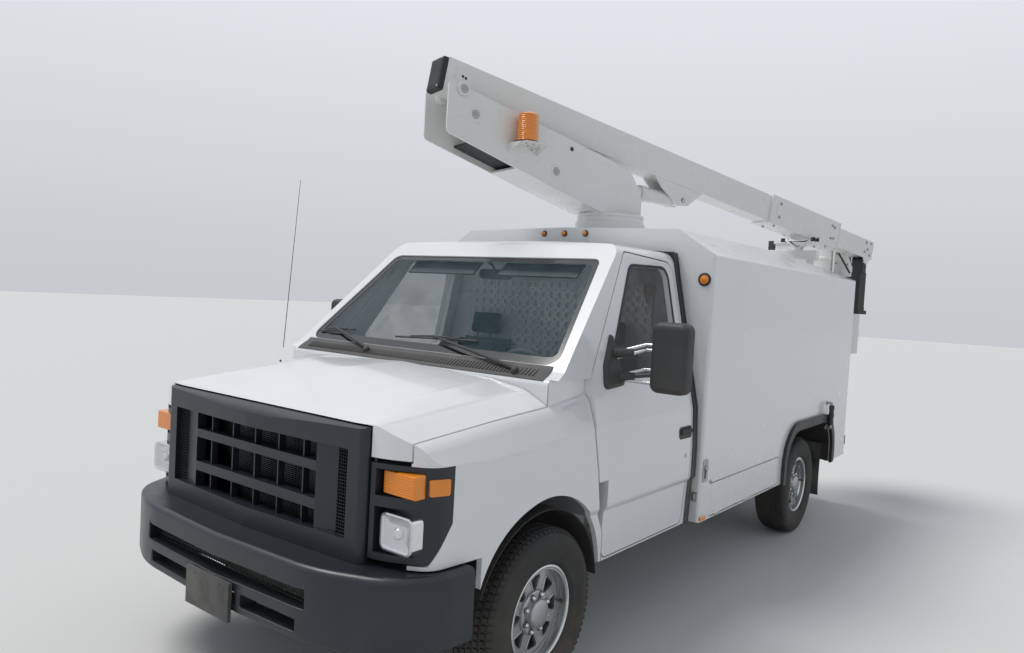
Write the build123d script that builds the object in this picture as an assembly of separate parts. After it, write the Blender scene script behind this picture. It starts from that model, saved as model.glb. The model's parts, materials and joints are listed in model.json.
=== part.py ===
from build123d import *
from math import asin, atan2, cos, degrees, hypot, radians, sin
import os

# Cherry picker truck: a cutaway van chassis and cab, an enclosed service body, and on its roof a
# turntable with a telescopic bucket boom that is stowed over the body, towards the rear.
# Millimetres. X points to the driver's side, Y to the rear, Z up, and the ground is z = 0.
# While the pieces are drawn, Y is counted from the front axle. They are moved when they are written.

# Overall layout
wheelbase = 3505
plate_front = -1000
cab_half_width = 1003
cab_back = 1400
body_front = cab_back + 40
body_rear = wheelbase + 1035
body_half_width = 1040
body_bottom = 500
wall = 40

# Wheels and axles
tyre_radius = 375
tyre_width = 240
rim_radius = 205
rim_lip = 12
axle_height = tyre_radius
front_wheel_x = 872
rear_wheel_x = 862
kingpin_x = 745
kingpin_radius = 34
knuckle_gap = 0.4
hub_radius = 62
arch_radius = 445
rear_arch_half = 575
rear_arch_top = 860

# Frame rails
rail_x = 400
rail_width = 70
rail_wall = 9
rail_bottom = 520
rail_top = 690
rail_kick = 70
rail_front = -640
rail_rear = body_rear - 60

# Cab
sill_bottom = 500
sill_inner_x = 880
floor_bottom = 700
floor_top = 740
toe_height = 900
cab_wall = 45
door_wall = 70
door_gap = 7
roof_top = 2085
cowl_height = 1375
cowl_y = 45
windshield_top_y = 735
windshield_top_z = roof_top - 75
glass_thickness = 6
belt_height = 1345
crease_height = 1166
door_hinge_y = 400
door_hinge_x = cab_half_width - 15
seat_gap = 0.3
hood_thickness = 28
fender_thickness = 26
panel_gap = 6
nose_front = -830
plate_bolt_x = 89
plate_bolt_z = 532
plate_bolt_radius = 3.5

# Service body
side_top = 2040
roof_edge_x = 800
roof_edge_z = 2190
roof_crown_z = 2206
deck_front = body_rear - 1224
body_floor = 760
rear_door_x0 = -900
rear_door_x1 = -110
rear_door_z0 = 830
rear_door_z1 = 1900
hitch_hole_radius = 13
locker_y0 = body_front + 150
locker_y1 = wheelbase - 735
locker_top = 712
locker_depth = 330
locker_face = body_half_width - 25

# Turntable and turret
turret_y = body_front + 560
rear_reach = body_rear - turret_y
rest_r = rear_reach - 468
rest_x = 708.6657
boom_azimuth = degrees(asin(rest_x / rest_r))
pedestal_radius = 245
turntable_top = roof_crown_z + 117
turret_plate = 12

# Boom, seen in its own upright plane: r runs along the stowed boom, z up
boom_front_r = -1366
boom_fall = 642.537
boom_slope = boom_fall / (rear_reach - boom_front_r)
boom_dip = degrees(atan2(boom_slope, 1))
boom_height = 206
boom_front_top_z = turntable_top + 622 + boom_height
boom_width = 160
boom_wall = 8
turret_half = boom_width / 2 + 78
collar_height = boom_height + 22
collar_width = boom_width + 28
collar_r0 = rear_reach - 950
collar_r1 = rear_reach - 50
inner_height = boom_height - 42
inner_width = boom_width - 30
inner_rear_r = -900
inner_tip_r = rear_reach + 495
rest_drop = 114.6804
pivot_r = -1302
pivot_z = turntable_top + 632
pivot_radius = 25

# Lift cylinder
cylinder_base_r = -600
cylinder_base_z = turntable_top + 237
cylinder_eye_r = 620
cylinder_eye_z = turntable_top + 197
barrel_radius = 52
barrel_length = 1170
bore_start = 76
rod_radius = 28
eye_radius = 38
eye_width = 60
eye_bore = 20

# Bucket
level_pin_inset = 70
level_pin_drop = 18
post_size = 90
post_bottom = turntable_top - 533
bucket_r0 = rear_reach + 228
bucket_r1 = bucket_r0 + 610
bucket_n0 = -870
bucket_n1 = -200
bucket_top = turntable_top + 114
bucket_bottom = bucket_top - 1067
bucket_wall = 12
bucket_rim = 14

# Rails' mounts, under the cab floor and under the body floor
cab_mount_y = (560, cab_back - 110)
body_mount_y = (body_front + 120, wheelbase - 805, wheelbase - 5, body_rear - 160)
mount_radius = 33


def block(x0, x1, y0, y1, z0, z1):
    """A box from its lowest to its highest corner."""
    return Pos((x0 + x1) / 2, (y0 + y1) / 2, (z0 + z1) / 2) * Box(x1 - x0, y1 - y0, z1 - z0)


def outline(rows, place):
    """A flat face inside a closed outline of rows (u, v) or (u, v, corner radius)."""
    points = [place(row[0], row[1]) for row in rows]
    if len(rows[0]) == 2:
        return make_face(Polyline(*points, close=True))
    return make_face(FilletPolyline(*points, radius=[row[2] for row in rows], close=True))


def side_prism(rows, x0, x1):
    """A prism from x0 to x1 whose outline is given as (y, z)."""
    return extrude(outline(rows, lambda y, z: (x0, y, z)), amount=x1 - x0, dir=(1, 0, 0))


def front_prism(rows, y0, y1):
    """A prism from y0 to y1 whose outline is given as (x, z)."""
    return extrude(outline(rows, lambda x, z: (x, y0, z)), amount=y1 - y0, dir=(0, 1, 0))


def plan_prism(rows, z0, z1):
    """A prism from z0 to z1 whose outline is given as (x, y)."""
    return extrude(outline(rows, lambda x, y: (x, y, z0)), amount=z1 - z0, dir=(0, 0, 1))


def both_sides(rows):
    """A half outline in x, closed by its mirror image."""
    return rows + [(-row[0], *row[1:]) for row in reversed(rows) if row[0] != 0]


def moved_in(rows, amount):
    """An outline of (u, v, corner radius) with its sides moved inwards by an amount."""
    if amount == 0:
        return rows
    count = len(rows)
    area = sum(rows[i - 1][0] * rows[i][1] - rows[i][0] * rows[i - 1][1] for i in range(count))
    turn = 1 if area > 0 else -1
    moved = []
    for index, (u, v, radius) in enumerate(rows):
        before = rows[index - 1]
        after = rows[(index + 1) % count]
        run_in = Vector(u - before[0], v - before[1]).normalized()
        run_out = Vector(after[0] - u, after[1] - v).normalized()
        step = amount * turn / (1 + run_in.dot(run_out))
        convex = (run_in.X * run_out.Y - run_in.Y * run_out.X) * turn > 0
        inner = max(radius - amount, 2) if convex else radius + amount
        moved.append((
            u - (run_in.Y + run_out.Y) * step,
            v + (run_in.X + run_out.X) * step,
            inner if radius else 0,
        ))
    return moved


def mirrored(shape):
    """The same shape on the other side of the truck."""
    return mirror(shape, about=Plane.YZ)


def rod_x(x0, x1, y, z, radius):
    """A round bar along X."""
    return Pos((x0 + x1) / 2, y, z) * Rot(0, 90, 0) * Cylinder(radius, x1 - x0)


def rod_y(x, y0, y1, z, radius):
    """A round bar along Y."""
    return Pos(x, (y0 + y1) / 2, z) * Rot(90, 0, 0) * Cylinder(radius, y1 - y0)


def rod_z(x, y, z0, z1, radius):
    """An upright round bar."""
    return Pos(x, y, (z0 + z1) / 2) * Cylinder(radius, z1 - z0)


# Outlines of the cab and nose, shared by the panels that are cut from them
def cab_section():
    """Half of the cab's cross-section as (x, z, corner radius)."""
    half = cab_half_width
    return [
        (0, roof_top - 8, 0),
        (half - 200, roof_top - 42, 90),
        (half - 51, belt_height, 220),
        (half - 12, crease_height, 14),
        (half, 950, 0),
        (half, 770, 40),
        (half - 18, 745, 20),
        (half - 30, sill_bottom - 60, 0),
    ]


def cab_profile():
    """The cab seen from the side as (y, z, corner radius)."""
    low = sill_bottom - 40
    return [
        (cab_back, low, 0),
        (cab_back, roof_top - 30, 45),
        (cab_back - 350, roof_top, 0),
        (windshield_top_y + 50, roof_top - 28, 110),
        (cowl_y + 70, cowl_height + 40, 60),
        (cowl_y, cowl_height, 30),
        (cowl_y, toe_height, 0),
        (arch_radius + 5, toe_height, 0),
        (arch_radius + 5, low, 0),
    ]


def cab_solid(inset, floor):
    """The cab's filled form inside its skin, open downwards to the floor's height."""
    front = front_prism(moved_in(both_sides(cab_section()), inset), cowl_y - 50, cab_back + 50)
    side = side_prism(moved_in(cab_profile(), inset), -1200, 1200)
    return (front & side) & block(-1200, 1200, -100, cab_back + 100, floor, roof_top + 100)


def door_inside(inset):
    """What lies inside the doors' inner faces, straight up through the roof."""
    rows = cab_section()
    shoulder = rows[1]
    belt = rows[2]
    lean = (shoulder[0] - belt[0]) / (shoulder[1] - belt[1])
    rise = 250
    top = (shoulder[0] + lean * rise - inset, shoulder[1] + rise, 0)
    lower = [(x - inset, z, radius) for x, z, radius in rows[2:]]
    return front_prism(both_sides([top] + lower), cowl_y - 150, cab_back + 150)


door_outline = [
    (330, 1131, 60), (395, 760, 30), (460, 640, 30), (468, 515, 40), (cab_back - 70, 515, 40),
    (cab_back - 48, 900, 0), (cab_back - 48, belt_height - 45, 0), (cab_back - 58, roof_top - 105, 80),
    (800, roof_top - 80, 60), (345, belt_height + 55, 60),
]
door_striker_z = 1000
window_outline = [
    (505, belt_height + 40, 30), (845, roof_top - 155, 60), (cab_back - 140, roof_top - 145, 60),
    (cab_back - 138, belt_height + 25, 45),
]


def grown_prism(rows, amount, x0, x1):
    """A prism along X of an outline of (y, z, corner radius) whose sides are moved outwards."""
    return side_prism(moved_in(rows, -amount), x0, x1)


def cab_shell():
    """Roof, pillars, back wall, floor, sills, firewall and cowl, open at doors and windshield."""
    cavity = cab_solid(cab_wall, floor_top)
    for sign in (1, -1):
        x0, x1 = sorted((sign * sill_inner_x, sign * 1200))
        cavity -= block(x0, x1, -100, door_hinge_y - 70, 400, cowl_height - cab_wall - 5)
    shell = cab_solid(0, sill_bottom) - cavity
    shell -= block(-sill_inner_x, sill_inner_x, -100, cab_back + 10, 400, floor_bottom)
    for sign in (1, -1):
        x0, x1 = sorted((sign * 600, sign * 1200))
        shell -= grown_prism(door_outline, door_gap, x0, x1) - door_inside(door_wall + 8)
        shell -= rod_z(sign * door_hinge_x, door_hinge_y, 880, 960, door_wall + 14)
        x0, x1 = sorted((sign * 900, sign * 1200))
        corner = block(x0, x1, -100, 470, 400, cowl_height + 10)
        shell -= corner - nose_solid(fender_thickness + seat_gap)
        x0, x1 = sorted((sign * 900, sign * 945))
        edge = door_outline[6][0]
        stop = block(x0, x1, edge - 17, edge + 12, door_striker_z - 20, door_striker_z + 20)
        shell += stop & door_inside(door_wall + seat_gap)
    shell -= windshield_cut(0)
    shell -= block(-345, 345, -50, 420, 400, 1085)
    return shell


def windshield_cut(shrink):
    """The opening of the windshield, leaning back from the cowl to the roof."""
    low_y = cowl_y + 115
    low_z = cowl_height + 45
    lean = atan2(windshield_top_z - low_z, windshield_top_y - low_y)
    length = hypot(windshield_top_z - low_z, windshield_top_y - low_y) - 70
    rows = moved_in(both_sides([(cab_half_width - 123, 0, 70), (cab_half_width - 258, length, 55)]), shrink)
    cutter = plan_prism(rows, -250, 250)
    return Pos(0, low_y, low_z) * Rot(degrees(lean), 0, 0) * cutter


def windshield():
    """One pane in the opening, flush with the pillars."""
    skin = cab_solid(8, sill_bottom) - cab_solid(8 + glass_thickness, sill_bottom)
    front = block(-1200, 1200, cowl_y + 60, windshield_top_y + 60, cowl_height - 75, roof_top + 100)
    return skin & windshield_cut(seat_gap) & front


def door(sign):
    """A cab door as thick as the whole door, with its window cut."""
    body = cab_solid(0, sill_bottom) - door_inside(door_wall)
    body &= grown_prism(door_outline, 0, 600, 1200)
    body -= grown_prism(window_outline, 0, 600, 1200)
    return body if sign > 0 else mirrored(body)


def door_glass(sign):
    """The pane in the door's window."""
    pane = door_inside(28) - door_inside(28 + glass_thickness)
    pane &= grown_prism(window_outline, -seat_gap, 600, 1200)
    return pane if sign > 0 else mirrored(pane)


# Nose: fenders, hood, grille, lamps and bumper
def nose_section(rows, y, inset):
    """A cross-section of the nose, from half of it as (x, z, corner radius)."""
    return outline(moved_in(both_sides(rows), inset), lambda x, z: (x, y, z))


def nose_solid(inset):
    """The filled form of the nose ahead of the doors, moved inwards by inset."""
    half = cab_half_width
    low = sill_bottom - 60
    plan = both_sides([
        (0, nose_front, 0), (half - 243, nose_front + 55, 350), (half - 68, nose_front + 150, 110),
        (half - 18, -150, 0), (half, 300, 0), (half, 470, 0),
    ])
    seam = cowl_y - panel_gap
    side = [
        (nose_front, low, 0), (nose_front, 1228, 80), (-500, 1316, 0), (seam, cowl_height + 8, 0),
        (seam, cowl_height + 125, 0), (470, cowl_height + 125, 0), (470, low, 0),
    ]
    front_half = [
        (0, 1290, 0), (half - 443, 1258, 200), (half - 273, 1222, 200), (half - 123, 1150, 120),
        (half - 51, 1060, 60), (half - 41, 950, 0), (half - 37, 770, 40), (half - 45, 745, 20),
        (half - 53, low, 0),
    ]
    rear_half = [
        (0, cowl_height + 53, 0), (half - 403, cowl_height + 33, 200), (half - 203, cowl_height + 11, 200),
        (half - 63, cowl_height - 57, 120), (half - 12, crease_height, 60), (half, 950, 0), (half, 770, 40),
        (half - 18, 745, 20), (half - 30, low, 0),
    ]
    front_face = nose_section(front_half, nose_front - 70, inset)
    rear_face = nose_section(rear_half, 480, inset)
    skin = loft([front_face, rear_face], ruled=True)
    plan_form = plan_prism(moved_in(plan, inset), low - 40, cowl_height + 100)
    return plan_form & side_prism(moved_in(side, inset), -1200, 1200) & skin


hood_front_x = cab_half_width - 153
hood_plan = both_sides([
    (hood_front_x, nose_front - 70), (hood_front_x + 6, -700), (hood_front_x + 30, -300),
    (hood_front_x + 55, cowl_y - panel_gap),
])
lamp_top = 1105
hood_seam_z = lamp_top + 15


def hood_region(gap):
    """The part of the nose that lifts with the hood."""
    plan = [(x - gap if x > 0 else x + gap, y) for x, y in hood_plan]
    return plan_prism(plan, hood_seam_z + gap, 1500)


def hood():
    """A thin lid over the engine, hinged at the cowl."""
    skin = nose_solid(0) - nose_solid(hood_thickness)
    lid = skin & hood_region(panel_gap / 2) & block(-1200, 1200, -900, cowl_y - panel_gap, 1000, 1500)
    grille_side = grille_half + panel_gap
    return lid - block(-grille_side, grille_side, -900, grille_back + 60, 1000, grille_top + panel_gap)


grille_face = nose_front - 15
grille_back = grille_face + 75
grille_half = 692
grille_top = 1232
opening_half = 426
slot_inner = 531
slot_outer = 607
opening_bottom = 800
opening_top = 1140
bar_heights = ((874, 916), (1026, 1064))
bumper_top = 718
bumper_front = plate_front + 16


def door_cut():
    """The space behind the fender that the door and the cab take."""
    rows = [(y - door_gap, z) for y, z, radius in door_outline[:4]]
    top = belt_height + 55
    return side_prism(
        [(345 - door_gap, top + 100), (345 - door_gap, top)] + rows
        + [(468 - door_gap, 400), (700, 400), (700, top + 100)], -1200, 1200)


lamp_back = -585
lamp_bottom = 745
lamp_inner_x = 700
lamp_side = [
    (nose_front - 70, lamp_top), (lamp_back, lamp_top), (lamp_back, 890), (lamp_back - 95, lamp_bottom),
    (nose_front - 70, lamp_bottom),
]


def fenders():
    """Both front fenders with round wheel openings, cut round the lamps and the hood."""
    skin = nose_solid(0) - nose_solid(fender_thickness)
    skin -= hood_region(-panel_gap / 2)
    skin -= door_cut()
    lamp_space = side_prism([
        (nose_front - 70, lamp_top + seat_gap), (lamp_back + seat_gap, lamp_top + seat_gap),
        (lamp_back + seat_gap, 890 - seat_gap), (lamp_back - 95, lamp_bottom - panel_gap),
        (nose_front - 70, lamp_bottom - panel_gap),
    ], -1200, 1200)
    skin -= lamp_space
    skin &= block(hood_front_x + panel_gap / 2, 1200, nose_front, 470, sill_bottom, 1420)
    skin -= block(0, 905, cowl_y - panel_gap, 500, 400, 1500)
    skin -= rod_x(500, 1300, 0, 450, arch_radius)
    skin -= block(500, 1300, nose_front - 50, -420, 400, bumper_top + panel_gap)
    skin = max(skin.solids(), key=lambda solid: solid.volume)
    return Compound([skin, mirrored(skin)])


# Each box or lens is (x0, x1, z0, z1)
lamp_boxes = ((722, 905, 985, 1085), (722, 905, 772, 945))
lamp_lenses = ((800, 900, 995, 1072), (790, 900, 790, 905))
lamp_floor = -712
lamp_side_x = cab_half_width - 100


def headlamps():
    """Both lamp clusters, wrapped round the front corners, with a deep box for each lamp."""
    lamp = nose_solid(0) & side_prism(lamp_side, lamp_inner_x, 1200)
    lamp -= block(0, lamp_side_x, lamp_floor + 25, lamp_back + 10, lamp_bottom - 10, lamp_top + 10)
    for x0, x1, z0, z1 in lamp_boxes:
        lamp -= block(x0, x1, nose_front - 70, lamp_floor, z0, z1)
    for x0, x1, z0, z1 in lamp_lenses:
        lamp += block(x0, x1, lamp_floor - 30, lamp_floor + 20, z0, z1)
    lamp += rod_z(711, -765, lamp_top - 10, hood_seam_z + panel_gap / 2 - seat_gap, 6)
    lamp = max(lamp.solids(), key=lambda solid: solid.volume)
    return Compound([lamp, mirrored(lamp)])


def grille():
    """A deep moulded surround with a rounded top, three rows of openings and a slot at each side."""
    front = side_prism([
        (grille_face, bumper_top + seat_gap, 0), (grille_face, grille_top, 62), (grille_back, grille_top, 0),
        (grille_back, bumper_top + seat_gap, 0),
    ], -grille_half - 50, grille_half + 50)
    plan = plan_prism(both_sides([
        (0, grille_face - 0.5, 0), (grille_half, grille_face + 34, 32), (grille_half, grille_back + 50, 0),
    ]), bumper_top - 10, grille_top + 10)
    frame = front & plan
    bar_face = grille_face + 30
    low = opening_bottom
    high = opening_top
    frame -= block(-opening_half, opening_half, grille_face - 5, bar_face, low, high)
    edges = [low, *bar_heights[0], *bar_heights[1], high]
    for z0, z1 in zip(edges[::2], edges[1::2]):
        frame -= block(-opening_half, opening_half, grille_face, grille_back + 5, z0, z1)
    for index in range(-2, 3):
        x = index * opening_half * 0.385
        frame += block(x - 4, x + 4, bar_face + 14, grille_back, low - 1, high + 1)
    for sign in (1, -1):
        recess = [
            (sign * opening_half, grille_face - 5), (sign * opening_half, bar_face),
            (sign * slot_inner, bar_face + 22), (sign * slot_outer, bar_face + 22),
            (sign * slot_outer, grille_face - 5),
        ]
        frame -= plan_prism(recess, low, high)
        x0, x1 = sorted((sign * slot_inner, sign * slot_outer))
        frame -= block(x0, x1, grille_face, grille_back + 5, low, high)
    return frame


def front_bumper():
    """A moulded bumper that wraps back to the wheel openings, with an air intake."""
    half = cab_half_width
    outer = [
        (0, bumper_front, 0), (half - 403, bumper_front + 28, 700), (half - 123, bumper_front + 146, 260),
        (half - 13, -640, 160), (half - 3, -500, 0),
    ]
    inner = [
        (0, bumper_front + 84, 0), (half - 423, bumper_front + 104, 600),
        (half - 173, bumper_front + 194, 200), (half - 83, -640, 90), (half - 78, -500, 0),
    ]
    skin = plan_prism(both_sides(outer), 435, bumper_top)
    rim = [edge for edge in skin.edges() if edge.center().Z > bumper_top - 1 and edge.center().Y < -501]
    skin = fillet(rim, 26)
    bumper = skin - plan_prism(both_sides(inner), 400, bumper_top - 28)
    bumper -= block(-560, 560, -1050, -850, 555, 625)
    for x0, x1 in ((-520, -190), (-160, 160), (190, 520)):
        bumper -= block(x0, x1, -1050, -850, 462, 512)
    for x in (-rail_x, rail_x):
        bumper += block(x - 30, x + 30, -905, rail_front - seat_gap, 632, 692)
    return bumper


def plate_bracket():
    """A flat blank plate bracket on the bumper's face, with its two bolt holes."""
    bracket = block(-155, 155, plate_front, bumper_front - seat_gap, 395, 550)
    for x in (-plate_bolt_x, plate_bolt_x):
        bracket -= rod_y(x, plate_front - 10, -970, plate_bolt_z, plate_bolt_radius)
    return bracket


# Chassis
def rail_outline():
    """One frame rail seen from the side, with its kick over the rear axle."""
    kick0 = wheelbase - 650
    kick1 = wheelbase + 700
    low = rail_bottom
    high = rail_top
    return [
        (rail_front, low + 40), (rail_front + 200, low), (kick0 - 120, low), (kick0, low + rail_kick),
        (kick1, low + rail_kick), (kick1 + 100, low + 30), (rail_rear, low + 30), (rail_rear, high),
        (rail_front, high),
    ]


def chassis_frame():
    """Two channel rails open inwards, with crossmembers and outriggers under cab and body."""
    rail = side_prism(rail_outline(), rail_x - rail_width / 2, rail_x + rail_width / 2)
    pocket = [
        (y + (rail_wall if index < 1 else 0), z + (rail_wall if index < 7 else -rail_wall))
        for index, (y, z) in enumerate(rail_outline())
    ]
    rail -= side_prism(pocket, rail_x - rail_width, rail_x + rail_width / 2 - rail_wall)
    inner = rail_x + rail_width / 2 - rail_wall
    frame = rail + mirrored(rail)
    for y, z0, z1 in (
        (-560, 570, 670), (-60, 525, 560), (cab_back - 150, 625, 685),
        (turret_y + pedestal_radius + 55, 625, 685),
        (wheelbase - 655, 625, 685), (wheelbase + 745, 560, 680),
    ):
        frame += block(-inner, inner, y - 45, y + 45, z0, z1)
    for sign in (1, -1):
        for y in cab_mount_y:
            frame += rod_z(sign * rail_x, y, rail_top, floor_bottom - seat_gap, mount_radius)
        for y in body_mount_y:
            frame += rod_z(sign * rail_x, y, rail_top, body_floor - wall - seat_gap, mount_radius)
    return frame


def locker_inner():
    """The inner side of the locker behind the skirt."""
    return body_half_width - locker_depth


def engine_block():
    """The engine as one plain mass on its crossmember."""
    return block(-290, 290, -470, 260, 560 + seat_gap, 1040)


def driveline():
    """Gearbox and propeller shaft down to the rear axle."""
    box = rod_y(0, 260 + seat_gap, 560, 560, 135) + rod_y(0, 560, 980, 555, 90)
    start = Vector(0, 970, 555)
    end = Vector(0, wheelbase - 240, axle_height + 10)
    run = end - start
    shaft = Solid.make_cylinder(38, run.length - 6, Plane(origin=start, z_dir=run))
    joint = rod_y(0, wheelbase - 262, wheelbase - 240 - seat_gap, axle_height + 10, 46)
    return box + shaft + joint


def exhaust():
    """Silencer and tail pipe along the passenger side of the propeller shaft."""
    height = 625 - seat_gap - 32
    return rod_y(-230, 1000, 2700, height, 32) + rod_y(-230, 1500, 2200, height, 92)


def fuel_tank():
    """A strapped tank between the rails behind the axle."""
    y0 = wheelbase + 365
    tank = block(-300, 300, y0, y0 + 335 - seat_gap, 400, 640)
    return fillet(tank.edges().filter_by(Axis.X), 30)


def front_axle():
    """Two crossed beam arms with kingpin eyes, and coil springs up to the frame."""
    arms = []
    for sign, y in ((1, -55), (-1, 55)):
        eye = rod_z(sign * kingpin_x, 0, axle_height - 60, axle_height + 60, kingpin_radius)
        beam = plan_prism([
            (sign * -370, y - 35), (sign * -370, y + 35), (sign * 560, y + 35), (sign * kingpin_x, 28),
            (sign * kingpin_x, -28), (sign * 560, y - 35),
        ], axle_height - 30, axle_height + 30)
        x0, x1 = sorted((sign * -320, sign * -385))
        hanger = block(x0, x1, y - 30, y + 30, axle_height - 30, rail_bottom - 0.2)
        arms.append(beam + eye + hanger)
    springs = []
    for sign in (1, -1):
        springs.append(rod_z(sign * rail_x, -55 * sign, axle_height + 30.2, rail_bottom - 0.2, 55))
    return Compound(arms + springs)


def rear_axle():
    """Axle tube with its banjo housing, and a leaf spring under each rail."""
    axle = rod_x(-700, 700, wheelbase, axle_height, 45)
    banjo = both_sides([(60, 150), (150, 20)])
    casing = revolve(outline(banjo, lambda x, z: (x, 0, z)), Axis.X, 360)
    axle += Pos(0, wheelbase, axle_height) * casing
    axle += rod_y(0, wheelbase - 240, wheelbase, axle_height + 10, 60)
    for sign in (1, -1):
        axle += rod_x(*sorted((sign * 690, sign * 735)), wheelbase, axle_height, 150)
        hub_face = rear_wheel_x - 62 - seat_gap
        axle += rod_x(*sorted((sign * 730, sign * hub_face)), wheelbase, axle_height, 45)
        seat = block(sign * rail_x - 40, sign * rail_x + 40, wheelbase - 90, wheelbase + 90, 400, 440)
        axle += seat
        leaf = side_prism([
            (wheelbase - 620, 555), (wheelbase - 300, 480), (wheelbase - 90, 440), (wheelbase + 90, 440),
            (wheelbase + 300, 480), (wheelbase + 680, 555), (wheelbase + 680, 589.8),
            (wheelbase + 640, 589.8), (wheelbase + 200, 500), (wheelbase - 200, 500),
            (wheelbase - 580, 589.8), (wheelbase - 620, 589.8),
        ], sign * rail_x - 35, sign * rail_x + 35)
        axle += leaf
    return axle


def knuckle(sign):
    """The yoke round the kingpin eye with the wheel's spindle."""
    top = axle_height + 60 + knuckle_gap
    bottom = axle_height - 60 - knuckle_gap
    face = front_wheel_x - 70
    yoke = rod_z(kingpin_x, 0, top, top + 26, 38) + rod_z(kingpin_x, 0, bottom - 26, bottom, 38)
    yoke += block(kingpin_x, face, -34, 34, top, top + 26)
    yoke += block(kingpin_x, face, -34, 34, bottom - 26, bottom)
    yoke += block(kingpin_x + 38, face, -34, 34, bottom - 26, top + 26)
    yoke += rod_x(face - 14, face, 0, axle_height, 150)
    yoke += rod_x(face, front_wheel_x + 30, 0, axle_height, 26)
    return yoke if sign > 0 else mirrored(yoke)


def wheel(x, sign, y, bore):
    """A pressed rim whose disc has eight windows between tapered spokes, its outer face outwards."""
    half = 95
    disc_x = x + 35
    window_inner = hub_radius + 38
    window_outer = rim_radius - 37
    rim = rod_x(x - half, x + half, y, axle_height, rim_radius)
    rim -= rod_x(x - half - 1, x + half + 1, y, axle_height, rim_radius - rim_lip)
    for edge in (x - half, x + half - 14):
        ring = rod_x(edge, edge + 14, y, axle_height, rim_radius + 10)
        rim += ring - rod_x(edge - 1, edge + 15, y, axle_height, rim_radius - rim_lip)
    disc = rod_x(disc_x, disc_x + 15, y, axle_height, rim_radius - rim_lip + 1)
    for index in range(8):
        corners = []
        for radius, turn in ((window_inner, -5), (window_outer, -14), (window_outer, 14), (window_inner, 5)):
            angle = radians(45 * index + turn)
            corners.append((y + radius * cos(angle), axle_height + radius * sin(angle)))
        disc -= side_prism(corners, disc_x - 5, disc_x + 20)
    hub = rod_x(x - 62, x + 80, y, axle_height, hub_radius)
    wheel_solid = rim + disc + hub
    if bore:
        wheel_solid -= rod_x(x - 70, x + 30.3, y, axle_height, bore)
    return wheel_solid if sign > 0 else mirrored(wheel_solid)


def tyre(x, sign, y):
    """A plain tyre round its rim."""
    half = tyre_width / 2
    bore = rim_radius + 10.3
    profile = [(bore, half - 22), (bore + 40, half), (tyre_radius - 38, half), (tyre_radius, half - 34)]
    rows = profile + [(radius, -wide) for radius, wide in reversed(profile)]
    ring = revolve(outline(rows, lambda radius, wide: (x + wide, 0, radius)), Axis.X, 360)
    ring = Pos(0, y, axle_height) * ring
    return ring if sign > 0 else mirrored(ring)


# Inside the cab
def seats():
    """Two plain seats on their boxes."""
    both = []
    for x in (-470, 470):
        seat = block(x - 230, x + 230, 720, 1180, floor_top + 0.2, 900)
        seat += side_prism([(1090, 880), (1180, 880), (1290, 1480), (1215, 1490)], x - 230, x + 230)
        seat += side_prism([(1225, 1470), (1290, 1470), (1300, 1640), (1240, 1640)], x - 120, x + 120)
        both.append(seat)
    return Compound(both)


def dashboard():
    """The dashboard across the cab with the steering wheel, and the engine cover."""
    back = cowl_y + cab_wall + seat_gap
    dash = side_prism([
        (back, 1130), (300, 1120), (430, 1160), (420, 1260), (300, 1325), (back, 1325),
    ], -850, 850)
    shelf = toe_height + cab_wall + seat_gap
    cover = block(-375, 375, back, 470, shelf, 1117) - block(-345, 345, 0, 440, 600, 1088)
    ring = Cylinder(205, 28) - Cylinder(177, 30) + Cylinder(45, 30) + Box(380, 30, 14)
    column = Pos(0, 0, -130) * Cylinder(28, 260)
    steering = Pos(440, 560, 1290) * Rot(-62, 0, 0) * (ring + column)
    return Compound([dash + steering, cover])


def mirror_head(sign):
    """A tall mirror on two arms at the door's front corner."""
    head = fillet(block(1095, 1285, 600, 690, 1318, 1660).edges().filter_by(Axis.Y), 45)
    arms = block(930, 1110, 620, 655, 1395, 1425) + block(930, 1110, 620, 655, 1530, 1560)
    base = block(900, 975, 420, 655, 1375, 1425) + block(940, 975, 620, 655, 1375, 1580)
    both = (head + arms + base) - cab_solid(-seat_gap, sill_bottom)
    both = max(both.solids(), key=lambda solid: solid.volume)
    return both if sign > 0 else mirrored(both)


# Service body
def body_section():
    """Half of the body's cross-section as (x, z, corner radius)."""
    return [
        (0, roof_crown_z, 0), (roof_edge_x, roof_edge_z, 30), (body_half_width, side_top, 25),
        (body_half_width, body_bottom - 60, 0),
    ]


def rear_deck_cut(inset):
    """What is taken off the roof's rear end, where a hipped deck falls to the rear wall."""
    top = [(deck_front - 190, 2400), (deck_front, roof_crown_z - 30 - inset),
           (body_rear + 5, side_top + 8 - inset), (body_rear + 5, 2400)]
    return side_prism(top, -1300, 1300)


def body_solid(inset):
    """The body's filled form inside its skin."""
    section = moved_in(both_sides(body_section()), inset)
    return front_prism(section, body_front + inset, body_rear - inset) - rear_deck_cut(inset)


def body_plan(z0, z1):
    """The body's plan with its rounded upright corners, as a prism."""
    half = body_half_width
    plan = [(half, body_front, 22), (half, body_rear, 22), (-half, body_rear, 22), (-half, body_front, 22)]
    return plan_prism(plan, z0, z1)


def wheel_opening(grow, x0, x1):
    """The opening over a rear wheel, as a prism along X."""
    centre = wheelbase - 25
    half = rear_arch_half + grow
    top = rear_arch_top + grow
    radius = 250
    points = [(centre - half, 400), (centre + half, 400), (centre + half, top), (centre - half, top)]
    prism = side_prism(points, x0, x1)
    corners = prism.edges().filter_by(Axis.X).sort_by(Axis.Z)[-2:]
    return fillet(corners, radius + grow)


def locker_opening(grow, x0, x1):
    """The opening of the locker in the skirt."""
    return block(x0, x1, locker_y0 - grow, locker_y1 + grow, body_bottom + 8 - grow, locker_top + grow)


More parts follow.
